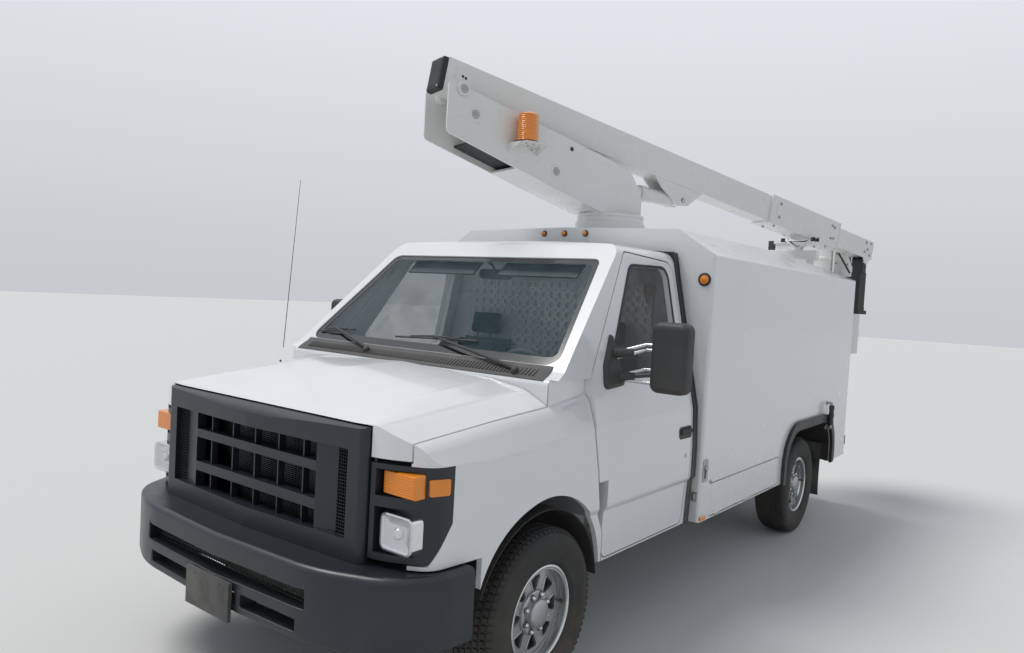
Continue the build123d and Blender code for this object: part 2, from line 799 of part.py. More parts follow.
def service_body():
    """The four walls with skirts, open at the rear entry, the wheels and the lockers."""
    inner = body_half_width - wall
    walls = body_solid(0) & body_plan(body_bottom, side_top)
    walls -= block(-inner, inner, body_front + wall, body_rear - wall, 400, side_top + 100)
    walls -= block(-650, 650, body_front - 10, body_rear + 10, 400, body_floor - wall)
    for sign in (1, -1):
        walls -= wheel_opening(0, *sorted((sign * 640, sign * 1300)))
        walls -= locker_opening(0, *sorted((sign * 900, sign * 1300)))
    walls -= block(rear_door_x0 - door_gap, rear_door_x1 + door_gap, body_rear - 200, body_rear + 100,
                   rear_door_z0 - door_gap, rear_door_z1 + door_gap)
    inside = body_rear - wall
    walls += block(rear_door_x1 - 15, rear_door_x1 + 25, inside - 20, inside - seat_gap, 1280, 1320)
    walls += block(rear_door_x1 + door_gap + 3, rear_door_x1 + 25, inside - 20, inside + 10, 1280, 1320)
    middle = (locker_y0 + locker_y1) / 2
    for sign in (1, -1):
        x0, x1 = sorted((sign * (locker_face - 15), sign * (locker_face - seat_gap)))
        walls += block(x0, x1, middle - 20, middle + 20, locker_top - door_gap - 12, locker_top + 4)
    return walls


def body_roof():
    """The chamfered roof with its hipped rear deck, open round the column."""
    roof = (body_solid(0) - body_solid(wall)) & body_plan(side_top, roof_crown_z + 50)
    return roof - rod_z(0, turret_y, side_top, 2500, pedestal_radius + 0.3)


def body_floor_panel():
    """The load floor with its two arched wheel boxes."""
    inner = body_half_width - wall
    floor = block(-inner, inner, body_front + wall, body_rear - wall, body_floor - wall, body_floor)
    for sign in (1, -1):
        box = wheel_opening(14, *sorted((sign * 626, sign * inner)))
        floor += box & block(-1300, 1300, 2000, body_rear, body_floor - wall, 1200)
        floor -= wheel_opening(0, *sorted((sign * 640, sign * 1300)))
    return floor - rod_z(0, turret_y, 500, 1000, pedestal_radius + 0.3)


def lockers():
    """An open steel box behind each skirt door, hung under the floor."""
    boxes = []
    for sign in (1, -1):
        inner = body_half_width - wall
        box = locker_opening(14, *sorted((sign * locker_inner(), sign * inner)))
        box &= block(-1300, 1300, 1000, body_rear, body_bottom, body_floor - wall)
        boxes.append(box - locker_opening(0, *sorted((sign * (locker_inner() + 14), sign * 1300))))
    return Compound(boxes)


def rear_door():
    """The entry door in the rear wall, on the side away from the bucket."""
    return block(rear_door_x0, rear_door_x1, body_rear - wall, body_rear, rear_door_z0, rear_door_z1)


def locker_door(sign):
    """A drop-down door in the skirt ahead of the rear wheel."""
    panel = block(locker_face, body_half_width, locker_y0 + 5, locker_y1 - 5, body_bottom + 14,
                  locker_top - door_gap)
    return panel if sign > 0 else mirrored(panel)


def wheel_flares():
    """Black flares round the rear wheel openings."""
    flares = []
    for sign in (1, -1):
        x0, x1 = sorted((sign * (body_half_width + 0.2), sign * (body_half_width + 24)))
        flare = wheel_opening(62, x0, x1) - wheel_opening(0, x0 - 5, x1 + 5)
        flares.append(flare & block(-1300, 1300, 2000, 5000, body_bottom - 10, 1200))
    return Compound(flares)


def rear_bumper():
    """A step bumper across the rear, on two arms from the frame rails."""
    step = block(-1000, 1000, body_rear + 2, body_rear + 178, 560, 640)
    for x in (-rail_x, rail_x):
        step += block(x - 30, x + 30, rail_rear + seat_gap, body_rear + 60, 560, 640)
    step -= rod_z(0, body_rear + 110, 500, 700, hitch_hole_radius)
    return step


def boom_rest():
    """A beam across the rear of the roof with a V of two arms under the boom."""
    x, y = boom_point(rest_r, 0)
    beam_top = boom_bottom_z(rest_r) - rest_drop
    beam = block(-866, 866, y - 40, y + 40, beam_top - 70, beam_top)
    for foot in (-826, 786):
        beam += block(foot, foot + 40, y - 40, y + 40, side_top + 30, beam_top - 20)
    beam -= body_solid(-seat_gap)
    arm_top = beam_top + 100
    arm = front_prism([
        (-24, beam_top - 5), (24, beam_top - 5), (24, beam_top + 20), (166, arm_top), (130, arm_top),
        (0, beam_top + 24), (-130, arm_top), (-166, arm_top), (-24, beam_top + 20),
    ], -25, 25)
    return beam + in_boom_plane(arm, rest_r)


def boom_point(r, n):
    """The place in plan of a point at r along the boom and n to the driver's side of it."""
    angle = radians(boom_azimuth)
    return (r * sin(angle) + n * cos(angle), turret_y + r * cos(angle) - n * sin(angle))


def in_boom_plane(shape, r=0):
    """Moves a shape drawn at the origin, with Y along the boom, to its place over the turntable."""
    x, y = boom_point(r, 0)
    return Pos(x, y, 0) * Rot(0, 0, -boom_azimuth) * shape


def pedestal():
    """The column through the body, and the turntable's fixed ring on the roof."""
    ring_bottom = turntable_top - 38
    column = rod_z(0, turret_y, rail_top + seat_gap, ring_bottom, pedestal_radius)
    column += block(-rail_x - 30, rail_x + 30, turret_y - 120, turret_y + 120, rail_top + seat_gap,
                    body_floor - wall - seat_gap)
    return column + rod_z(0, turret_y, ring_bottom, turntable_top - seat_gap, pedestal_radius - 12)


def boom_bottom_z(r):
    """The height of the stowed boom's underside."""
    return boom_front_top_z - boom_height / cos(radians(boom_dip)) - boom_slope * (r - boom_front_r)


def along_boom(r, depth, length, height, width, top_gap=0):
    """A bar along the stowed boom from r, depth below the boom's top face."""
    top = boom_front_top_z - boom_slope * (r - boom_front_r)
    bar = Pos(0, length / 2, -height / 2 - depth) * Box(width, length, height)
    return Pos(0, r, top) * Rot(-boom_dip, 0, 0) * bar


turret_outline = [
    (-1400, turntable_top + 674, 28), (-236, turntable_top + 393, 0), (30, turntable_top + 320, 60),
    (141, turntable_top + 150, 150), (141, turntable_top + 18, 0), (-205, turntable_top + 18, 0),
    (-580, turntable_top + 121, 0), (-1400, turntable_top + 366, 35),
]


def turret():
    """Two side plates that lean forward from the turntable, tied by a floor and a rear plate."""
    inner = turret_half - turret_plate
    plates = side_prism(turret_outline, inner, turret_half) + side_prism(turret_outline, -turret_half, -inner)
    low = turntable_top + 18
    floor = side_prism([
        (-900, low + 199), (-580, low + 103), (-205, low), (141, low), (141, low + 14), (-200, low + 14),
        (-576, low + 117), (-896, low + 213),
    ], -inner, inner)
    base = Pos(0, 0, turntable_top + 10) * Cylinder(pedestal_radius - 12, 20)
    body = plates + floor + base
    for side in (-1, 1):
        x0, x1 = sorted((side * turret_half, side * (turret_half + 8)))
        body += rod_x(x0, x1, pivot_r, pivot_z, pivot_radius)
        x0, x1 = sorted((side * inner, side * (boom_width / 2 + 0.5)))
        body += rod_x(x0, x1, pivot_r, pivot_z, 45)
        x0, x1 = sorted((side * inner, side * (eye_width / 2 + 0.5)))
        body += rod_x(x0, x1, cylinder_base_r, cylinder_base_z, 40)
    return in_boom_plane(body)


def outer_boom():
    """The outer box tube with its collar, front end and the lift cylinder's ears."""
    dip = cos(radians(boom_dip))
    length = (collar_r1 - boom_front_r) / dip
    tube = along_boom(boom_front_r, 0, length - 5, boom_height, boom_width)
    collar_extra = (collar_height - boom_height) / 2
    collar = along_boom(collar_r0, -collar_extra, (collar_r1 - collar_r0) / dip, collar_height, collar_width)
    inside_height = boom_height - 2 * boom_wall
    hollow = along_boom(boom_front_r, boom_wall, length + 50, inside_height, boom_width - 2 * boom_wall)
    boom = tube + collar
    for side in (-1, 1):
        x0, x1 = sorted((side * (boom_width / 2 - 24), side * (boom_width / 2 - 8)))
        ear = side_prism([
            (330, boom_bottom_z(330) + 4), (820, boom_bottom_z(820) + 4), (800, boom_bottom_z(800) - 10),
            (cylinder_eye_r + 50, cylinder_eye_z - 40), (cylinder_eye_r - 50, cylinder_eye_z - 45),
            (400, boom_bottom_z(400) - 60),
        ], x0, x1)
        boom += ear
    boom -= hollow
    for side in (-1, 1):
        x0, x1 = sorted((side * 30, side * 90))
        boom -= rod_x(x0, x1, cylinder_eye_r, cylinder_eye_z, eye_bore)
    return in_boom_plane(boom)


def inner_boom():
    """The inner box tube, carried on pads inside the collar, slotted at its tip."""
    dip = cos(radians(boom_dip))
    length = (inner_tip_r - inner_rear_r) / dip
    depth = (boom_height - inner_height) / 2
    tube = along_boom(inner_rear_r, depth, length, inner_height, inner_width)
    tube -= along_boom(inner_rear_r - 20, depth + boom_wall, length + 50, inner_height - 2 * boom_wall,
                       inner_width - 2 * boom_wall)
    tube -= along_boom(inner_tip_r - 160, depth + inner_height - boom_wall - 2, 300, boom_wall + 10, 105)
    for r in (inner_rear_r + 10, collar_r1 - 140):
        tube += along_boom(r, boom_wall + 0.3, 90, depth - boom_wall, inner_width - 20)
        tube += along_boom(r, depth + inner_height - 0.5, 90, depth - boom_wall + 0.2, inner_width - 20)
    px, pz = level_pin()
    for side in (-1, 1):
        x0, x1 = sorted((side * (inner_width / 2 - 12.5), side * inner_width / 2))
        tube += side_prism([
            (px - 40, pz + 60), (px - 30, pz - 20), (px, pz - 34), (px + 30, pz - 20), (px + 40, pz + 60),
        ], x0, x1)
    return in_boom_plane(tube)


def level_pin():
    """The levelling pin's place under the boom's tip, as (r, z)."""
    angle = radians(boom_dip)
    r = inner_tip_r - level_pin_inset * cos(angle)
    top = boom_front_top_z - boom_slope * (r - boom_front_r)
    drop = (boom_height + inner_height) / 2 + level_pin_drop
    return (r - drop * sin(angle), top - drop * cos(angle))


def bucket_bracket():
    """The post that hangs from the tip, with a foot and an upper arm to the bucket's side plate."""
    r, z = level_pin()
    half = post_size / 2
    post = block(-half, half, r - half, r + half, post_bottom, z - 110)
    post += rod_x(-52, 52, r, z, 27) + block(-52, 52, r - 25, r + 25, z - 112, z)
    post += block(bucket_n1 + 0.2, half, r - 50, r + 50, post_bottom - 20, post_bottom + 30)
    post += block(bucket_n1 + 0.2, -half, r - 45, r + 45, z - 200, z - 150)
    post += block(bucket_n1 + 0.2, bucket_n1 + 16, r - 110, r + 110, post_bottom - 40, turntable_top + 7)
    return in_boom_plane(post)


def bucket():
    """An open tub with rounded corners and a rolled rim."""
    n = (bucket_n0 + bucket_n1) / 2
    r = (bucket_r0 + bucket_r1) / 2
    width = bucket_n1 - bucket_n0
    length = bucket_r1 - bucket_r0

    def tub(inset, z0, z1):
        face = RectangleRounded(width - 2 * inset, length - 2 * inset, 110 - inset / 2)
        return extrude(Pos(n, r, z0) * face, amount=z1 - z0)

    shell = tub(0, bucket_bottom, bucket_top)
    shell += tub(-bucket_rim, bucket_top - 40, bucket_top)
    shell -= tub(bucket_wall, bucket_bottom + bucket_wall, bucket_top + 10)
    return in_boom_plane(shell)


def cylinder_line():
    """The tilt and length of the lift cylinder's axis in the boom's plane."""
    run_r = cylinder_eye_r - cylinder_base_r
    run_z = cylinder_eye_z - cylinder_base_z
    return degrees(atan2(run_z, run_r)), hypot(run_r, run_z)


def lift_cylinder():
    """The barrel, pinned between the turret's plates."""
    angle = cylinder_line()[0]
    barrel = rod_y(0, 60, barrel_length, 0, barrel_radius)
    barrel += rod_x(-eye_width / 2, eye_width / 2, 0, 0, eye_radius)
    barrel += block(-25, 25, 0, 70, -25, 25)
    barrel -= rod_y(0, bore_start, barrel_length + 10, 0, rod_radius + 0.05)
    return in_boom_plane(Pos(0, cylinder_base_r, cylinder_base_z) * Rot(angle, 0, 0) * barrel)


def lift_rod():
    """The rod, whose open eye sits between the boom's ears."""
    angle, length = cylinder_line()
    rod = rod_y(0, bore_start + 4, length - 20, 0, rod_radius)
    rod += rod_x(-eye_width / 2 - 5, eye_width / 2 + 5, length, 0, eye_radius)
    rod -= rod_x(-60, 60, length, 0, eye_bore)
    return in_boom_plane(Pos(0, cylinder_base_r, cylinder_base_z) * Rot(angle, 0, 0) * rod)


def beacon():
    """A round warning beacon on a bracket on the driver's side plate."""
    r = -880
    z = turntable_top + 372
    n = turret_half + 75
    lamp = rod_z(n, r, z, z + 125, 48)
    shelf = block(turret_half + 0.2, turret_half + 135, r - 90, r + 90, z - 6, z)
    shelf += side_prism([(r - 80, z - 6), (r + 80, z - 6), (r, z - 60)], turret_half + 0.2, turret_half + 8)
    return in_boom_plane(lamp + shelf)


nodes = {
    "chassis_frame": chassis_frame,
    "engine_block": engine_block,
    "driveline": driveline,
    "exhaust": exhaust,
    "fuel_tank": fuel_tank,
    "front_axle": front_axle,
    "rear_axle": rear_axle,
    "cab_shell": cab_shell,
    "windshield": windshield,
    "fenders": fenders,
    "hood": hood,
    "headlamps": headlamps,
    "grille": grille,
    "front_bumper": front_bumper,
    "plate_bracket": plate_bracket,
    "seats": seats,
    "dashboard": dashboard,
    "service_body": service_body,
    "body_roof": body_roof,
    "body_floor": body_floor_panel,
    "lockers": lockers,
    "rear_door": rear_door,
    "wheel_flares": wheel_flares,
    "rear_bumper": rear_bumper,
    "boom_rest": boom_rest,
    "pedestal": pedestal,
    "turret": turret,
    "beacon": beacon,
    "outer_boom": outer_boom,
    "inner_boom": inner_boom,
    "lift_cylinder": lift_cylinder,
    "lift_rod": lift_rod,
    "bucket_bracket": bucket_bracket,
    "bucket": bucket,
}
for side, sign in (("left", 1), ("right", -1)):
    nodes["knuckle_" + side] = lambda sign=sign: knuckle(sign)
    nodes["door_" + side] = lambda sign=sign: door(sign)
    nodes["door_glass_" + side] = lambda sign=sign: door_glass(sign)
    nodes["mirror_" + side] = lambda sign=sign: mirror_head(sign)
    nodes["locker_door_" + side] = lambda sign=sign: locker_door(sign)
    nodes["wheel_front_" + side] = lambda sign=sign: wheel(front_wheel_x, sign, 0, 26.05)
    nodes["wheel_rear_" + side] = lambda sign=sign: wheel(rear_wheel_x, sign, wheelbase, 0)
    nodes["tyre_front_" + side] = lambda sign=sign: tyre(front_wheel_x, sign, 0)
    nodes["tyre_rear_" + side] = lambda sign=sign: tyre(rear_wheel_x, sign, wheelbase)

shapes = {name: make() for name, make in nodes.items()}
front_end = min(shape.bounding_box().min.Y for shape in shapes.values())
rear_end = max(shape.bounding_box().max.Y for shape in shapes.values())
to_frame = Pos(0, -(front_end + rear_end) / 2, 0)

os.makedirs("parts", exist_ok=True)
for name, shape in shapes.items():
    export_step(to_frame * shape, f"parts/{name}.step")
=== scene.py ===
import json
import math

import bmesh
import bpy
from mathutils import Matrix, Vector
from mathutils.bvhtree import BVHTree

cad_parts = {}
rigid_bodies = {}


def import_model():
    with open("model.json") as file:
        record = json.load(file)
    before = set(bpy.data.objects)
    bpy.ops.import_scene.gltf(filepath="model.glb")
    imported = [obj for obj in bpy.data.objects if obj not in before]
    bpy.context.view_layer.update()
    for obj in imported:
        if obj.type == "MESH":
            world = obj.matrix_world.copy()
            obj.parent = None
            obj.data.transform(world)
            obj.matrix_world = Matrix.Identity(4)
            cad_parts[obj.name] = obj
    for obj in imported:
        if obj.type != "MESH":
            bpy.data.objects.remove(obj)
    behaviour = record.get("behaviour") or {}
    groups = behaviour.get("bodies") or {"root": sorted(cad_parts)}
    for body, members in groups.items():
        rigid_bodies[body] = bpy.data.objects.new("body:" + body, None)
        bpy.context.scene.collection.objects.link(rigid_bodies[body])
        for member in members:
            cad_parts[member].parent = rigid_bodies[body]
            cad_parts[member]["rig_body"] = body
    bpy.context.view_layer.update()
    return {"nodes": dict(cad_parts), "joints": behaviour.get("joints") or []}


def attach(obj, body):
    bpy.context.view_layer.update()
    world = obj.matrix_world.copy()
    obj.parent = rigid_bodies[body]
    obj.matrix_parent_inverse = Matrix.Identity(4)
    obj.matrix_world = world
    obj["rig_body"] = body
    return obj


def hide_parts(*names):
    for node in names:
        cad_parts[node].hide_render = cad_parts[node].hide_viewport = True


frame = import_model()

# Camera
# A phone at standing height, a few steps ahead of the driver's door, tilted a little to one side.
# Places on the truck are in millimetres, x to the driver's side, y from the front axle, z up.
joints = {joint["name"]: joint for joint in frame["joints"]}
front_axle_y = joints["steering_left"]["pos_m"][1]
truck = Matrix.Translation((0, front_axle_y, 0)) @ Matrix.Scale(0.001, 4)
to_truck = truck.inverted()
camera_place = truck @ Vector((2814, -2723, 1749))
camera_turn = math.radians(-37.56)
camera_tilt = math.radians(-2.33)
camera_roll = math.radians(3.19)
camera_lens = 27.09
camera_data = bpy.data.cameras.new("camera")
camera_data.sensor_width = 36.0
camera_data.sensor_fit = "HORIZONTAL"
camera_data.lens = camera_lens
camera_data.clip_end = 200.0
camera = bpy.data.objects.new("camera", camera_data)
ahead = Vector((math.sin(camera_turn), math.cos(camera_turn), 0))
right = Vector((math.cos(camera_turn), -math.sin(camera_turn), 0))
above = Vector((0, 0, 1))
look = ahead * math.cos(camera_tilt) + above * math.sin(camera_tilt)
top = above * math.cos(camera_tilt) - ahead * math.sin(camera_tilt)
across = right * math.cos(camera_roll) + top * math.sin(camera_roll)
top = top * math.cos(camera_roll) - right * math.sin(camera_roll)
turned = Matrix((across, top, -look)).transposed().to_4x4()
camera.matrix_world = Matrix.Translation(camera_place) @ turned
bpy.context.scene.collection.objects.link(camera)
bpy.context.scene.camera = camera
bpy.context.scene.view_settings.view_transform = "Standard"

# Studio
# A wide pale floor, a bright even sky and one broad soft sun from the passenger's side.
floor_size = 120.0
floor_colour = (0.66, 0.66, 0.655, 1)
sky_level = 0.46
sky_colour = (0.86, 0.93, 1.0, 1)
backdrop_level = 0.95
# Each step of the backdrop is (height as a share, colour)
sky_ramp = ((0.0, (0.60, 0.62, 0.65, 1)), (0.45, (0.86, 0.90, 0.95, 1)))
sun_level = 2.0
sun_colour = (1.0, 0.98, 0.95)
sun_softness = math.radians(28)
sun_direction = Vector((0.45, 0.25, -1.0))


def feed(tree, node, inputs):
    """Each input, by name or number, takes a value or the socket that leads to it."""
    for key, value in inputs.items():
        if isinstance(value, bpy.types.NodeSocket):
            tree.links.new(value, node.inputs[key])
        else:
            node.inputs[key].default_value = value


def add_node(tree, kind, inputs=None, **settings):
    """A new node with its settings and its inputs."""
    node = tree.nodes.new(kind)
    for label, value in settings.items():
        setattr(node, label, value)
    feed(tree, node, inputs or {})
    return node


def reckon(tree, operation, first, second, third=0.0, clamp=False):
    """The result of a sum with two or three numbers."""
    inputs = {0: first, 1: second, 2: third}
    return add_node(tree, "ShaderNodeMath", inputs, operation=operation, use_clamp=clamp).outputs[0]


def noise_at(tree, vector, scale, detail, **inputs):
    """Noise at a place, as a value round one half."""
    inputs = {"Vector": vector, "Scale": scale, "Detail": detail, **inputs}
    return add_node(tree, "ShaderNodeTexNoise", inputs).outputs["Fac"]


def mapped(tree, value, low, high, start=0.0, end=1.0):
    """A value brought from start and end to low and high."""
    inputs = {"Value": value, "From Min": start, "From Max": end, "To Min": low, "To Max": high}
    return add_node(tree, "ShaderNodeMapRange", inputs).outputs["Result"]


def new_material(name):
    """A material with its tree and its Principled shader."""
    material = bpy.data.materials.new(name)
    material.use_nodes = True
    return material, material.node_tree, material.node_tree.nodes["Principled BSDF"]


def object_from(mesh, name):
    """A new object in the scene that holds a mesh."""
    thing = bpy.data.objects.new(name, mesh)
    bpy.context.scene.collection.objects.link(thing)
    return thing


def studio_floor():
    """The floor, with the faint mottle of a rolled coating."""
    mesh = bpy.data.meshes.new("floor")
    half = floor_size / 2
    corners = [(-half, -half, 0), (half, -half, 0), (half, half, 0), (-half, half, 0)]
    mesh.from_pydata(corners, [], [(0, 1, 2, 3)])
    material, tree, shader = new_material("floor_paint")
    place = add_node(tree, "ShaderNodeTexCoord").outputs["Object"]
    mottle = noise_at(tree, place, 40.0, 6.0)
    feed(tree, shader, {"Base Color": floor_colour, "Roughness": mapped(tree, mottle, 0.65, 0.85)})
    mesh.materials.append(material)
    floor = object_from(mesh, "floor")


def studio_light():
    """The sky's light, seen by the camera, by gloss and through glass as a pale backdrop."""
    world = bpy.data.worlds.new("sky")
    world.use_nodes = True
    bpy.context.scene.world = world
    tree = world.node_tree
    place = add_node(tree, "ShaderNodeTexCoord").outputs["Generated"]
    height = add_node(tree, "ShaderNodeSeparateXYZ", {0: place}).outputs["Z"]
    ramp = add_node(tree, "ShaderNodeValToRGB", {"Fac": height})
    for element, (position, colour) in zip(ramp.color_ramp.elements, sky_ramp):
        element.position = position
        element.color = colour
    backdrop = tree.nodes["Background"]
    feed(tree, backdrop, {"Color": ramp.outputs["Color"], "Strength": backdrop_level})
    lighting = add_node(tree, "ShaderNodeBackground", {"Color": sky_colour, "Strength": sky_level})
    path = add_node(tree, "ShaderNodeLightPath").outputs
    seen = reckon(tree, "MAXIMUM", path["Is Camera Ray"], path["Is Glossy Ray"])
    seen = reckon(tree, "MAXIMUM", seen, path["Is Transmission Ray"])
    mix = add_node(tree, "ShaderNodeMixShader", {0: seen, 1: lighting.outputs[0], 2: backdrop.outputs[0]})
    feed(tree, tree.nodes["World Output"], {"Surface": mix.outputs[0]})
    lamp = bpy.data.lights.new("sun", "SUN")
    lamp.energy = sun_level
    lamp.angle = sun_softness
    lamp.color = sun_colour
    sun = object_from(lamp, "sun")
    sun.rotation_euler = sun_direction.to_track_quat("-Z", "Y").to_euler()


studio_floor()
studio_light()

# Chassis frame
# Pressed steel rails with riveted crossmembers, dipped in satin black paint. They carry everything
# above and are the first thing in the yard; road film covers them from below.
film_colour = (0.23, 0.20, 0.165, 1)
rail_face_x = 436
# Each pair of rail bolts is at (y, z)
rail_bolts = ((-560, 630), (1250, 630), (2300, 630), (2850, 655), (4250, 655))


def start_tree(name, kind, sockets, result, result_kind):
    """An empty group with its sockets, what its inputs give, and the node that takes its result."""
    tree = bpy.data.node_groups.new(name, kind)
    for label, (socket_kind, value) in sockets.items():
        socket = tree.interface.new_socket(label, in_out="INPUT", socket_type="NodeSocket" + socket_kind)
        if value is not None:
            socket.default_value = value
    tree.interface.new_socket(result, in_out="OUTPUT", socket_type="NodeSocket" + result_kind)
    return tree, add_node(tree, "NodeGroupInput").outputs, add_node(tree, "NodeGroupOutput")


def surface_ripple_group():
    """Uneven reflections: a noise height that is turned into a normal."""
    sockets = {"Scale": ("Float", 90.0), "Strength": ("Float", 0.1), "Depth": ("Float", 0.001)}
    tree, given, result = start_tree("surface_ripple", "ShaderNodeTree", sockets, "Normal", "Vector")
    place = add_node(tree, "ShaderNodeTexCoord").outputs["Object"]
    height = noise_at(tree, place, given["Scale"], 3.0)
    inputs = {"Height": height, "Strength": given["Strength"], "Distance": given["Depth"]}
    feed(tree, result, {"Normal": add_node(tree, "ShaderNodeBump", inputs).outputs["Normal"]})
    return tree


def road_film_group():
    """A mask from 0 to 1 that is full at the ground and fades out upwards, broken up by noise."""
    sockets = {"Reach": ("Float", 1.2), "Amount": ("Float", 0.5), "Scale": ("Float", 3.0)}
    tree, given, result = start_tree("road_film", "ShaderNodeTree", sockets, "Mask", "Float")
    place = add_node(tree, "ShaderNodeTexCoord").outputs["Object"]
    height = add_node(tree, "ShaderNodeSeparateXYZ", {0: place}).outputs["Z"]
    share = reckon(tree, "DIVIDE", height, given["Reach"])
    fade = reckon(tree, "SUBTRACT", 1.0, share, clamp=True)
    blotch = mapped(tree, noise_at(tree, place, given["Scale"], 8.0, Roughness=0.65), 0.0, 1.0, 0.35, 0.7)
    spread = reckon(tree, "MULTIPLY", fade, blotch)
    feed(tree, result, {"Mask": reckon(tree, "MULTIPLY", spread, given["Amount"], clamp=True)})
    return tree


surface_ripple = surface_ripple_group()
road_film = road_film_group()


def rippled(tree, ripple):
    """The normal of a rippled surface."""
    skin = add_node(tree, "ShaderNodeGroup", node_tree=surface_ripple)
    feed(tree, skin, dict(zip(("Scale", "Strength", "Depth"), ripple)))
    return skin.outputs["Normal"]


def coated(name, colour, second, rough, ripple, film, metallic=0.0, coat=0.0):
    """A painted, plated or moulded finish: two near shades, a rippled surface and road film.

    ripple is (scale, strength, depth in metres) and film is (reach in metres, amount, film colour).
    """
    material, tree, shader = new_material(name)
    place = add_node(tree, "ShaderNodeTexCoord").outputs["Object"]
    reach, amount, dust = film
    dirt = add_node(tree, "ShaderNodeGroup", node_tree=road_film)
    feed(tree, dirt, {"Reach": reach, "Amount": amount})
    mask = dirt.outputs["Mask"]
    shade = {"Factor": noise_at(tree, place, 2.3, 5.0), "A": colour, "B": second}
    tone = add_node(tree, "ShaderNodeMix", shade, data_type="RGBA").outputs["Result"]
    dirty = add_node(tree, "ShaderNodeMix", {"Factor": mask, "A": tone, "B": dust}, data_type="RGBA")
    gloss = mapped(tree, noise_at(tree, place, 7.0, 6.0), rough * 0.75, rough * 1.3)
    feed(tree, shader, {
        "Base Color": dirty.outputs["Result"],
        "Roughness": reckon(tree, "MULTIPLY_ADD", mask, 0.5, gloss, True),
        "Normal": rippled(tree, ripple), "Metallic": metallic, "Coat Weight": coat, "Coat Roughness": 0.06,
    })
    return material


def made_plain(thing):
    """The object's mesh with its modifiers worked in."""
    bpy.context.view_layer.update()
    worked = thing.evaluated_get(bpy.context.evaluated_depsgraph_get())
    mesh = bpy.data.meshes.new_from_object(worked)
    thing.modifiers.clear()
    thing.data = mesh
    return thing


def rounded_off(thing, edge, segments, angle):
    """Rounds the object's corners by edge metres and smooths its shading."""
    for polygon in thing.data.polygons:
        polygon.use_smooth = True
    if edge:
        soft = thing.modifiers.new("round", "BEVEL")
        soft.width = edge
        soft.segments = segments
        soft.limit_method = "ANGLE"
        soft.angle_limit = math.radians(angle)
        soft.miter_outer = "MITER_ARC"
    thing.data.set_sharp_from_angle(angle=math.radians(angle))
    normals = thing.modifiers.new("normals", "WEIGHTED_NORMAL")
    normals.keep_sharp = not edge
    normals.weight = 80
    return made_plain(thing)


def node_copy(node):
    """A copy of a node's form with its doubles merged and its flat faces whole."""
    copy = object_from(frame["nodes"][node].data.copy(), node + "_form")
    form = bmesh.new()
    form.from_mesh(copy.data)
    bmesh.ops.remove_doubles(form, verts=form.verts, dist=0.00002)
    bmesh.ops.dissolve_limit(form, angle_limit=math.radians(0.6), verts=form.verts, edges=form.edges)
    form.to_mesh(copy.data)
    form.free()
    return copy


def settle(piece, name, body, material):
    """Names a finished piece, gives it its finish and makes it ride on its body."""
    piece.name = name
    piece.data.name = name
    piece.data.materials.clear()
    piece.data.materials.append(material)
    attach(piece, body)
    return piece


def panel(name, nodes, edge, material, segments=3, angle=28.0):
    """A rigid piece with the form of its CAD nodes, joined if they are several, with rounded corners."""
    nodes = nodes.split()
    piece = node_copy(nodes[0])
    for other in nodes[1:]:
        partner = node_copy(other)
        join = piece.modifiers.new("join", "BOOLEAN")
        join.operation = "UNION"
        join.solver = "EXACT"
        join.object = partner
        made_plain(piece)
        bpy.data.objects.remove(partner)
    rounded_off(piece, edge, segments, angle)
    settle(piece, name, frame["nodes"][nodes[0]]["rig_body"], material)
    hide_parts(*nodes)
    return piece


def add_lathe(form, start, direction, profile, segments=24, hollow=False):
    """Turns rows (distance along, radius) round an axis; hollow joins the last row to the first."""
    axis = Vector(direction).normalized()
    turn = axis.to_track_quat("Z", "Y")
    rings = []
    for along, radius in profile:
        if radius == 0:
            rings.append([form.verts.new(Vector(start) + axis * along)])
            continue
        ring = []
        for index in range(segments):
            angle = 2 * math.pi * index / segments
            off = Vector((radius * math.cos(angle), radius * math.sin(angle), along))
            ring.append(form.verts.new(Vector(start) + turn @ off))
        rings.append(ring)
    pairs = list(zip(rings, rings[1:]))
    if hollow:
        pairs.append((rings[-1], rings[0]))
    for low, high in pairs:
        for index in range(segments):
            after = (index + 1) % segments
            corners = [low[index % len(low)], low[after % len(low)]]
            corners += [high[after % len(high)], high[index % len(high)]]
            form.faces.new(list(dict.fromkeys(corners)))
    if not hollow:
        for ring in (rings[0], rings[-1]):
            if len(ring) > 1:
                form.faces.new(ring)


def finish(form, name, body, material, place=truck, edge=0.0, segments=2, angle=30.0):
    """Turns a form drawn in millimetres at a place into a finished piece; edge is in millimetres."""
    bmesh.ops.recalc_face_normals(form, faces=form.faces)
    mesh = bpy.data.meshes.new(name)
    form.to_mesh(mesh)
    form.free()
    mesh.transform(place)
    piece = rounded_off(object_from(mesh, name), edge * 0.001, segments, angle)
    return settle(piece, name, body, material)


def finished(tree, form, material, result):
    """Makes a form real and gives it its finish at the end of a tree."""
    real = add_node(tree, "GeometryNodeRealizeInstances", {"Geometry": form}).outputs["Geometry"]
    coat = add_node(tree, "GeometryNodeSetMaterial", {"Geometry": real, "Material": material})
    feed(tree, result, {"Geometry": coat.outputs["Geometry"]})


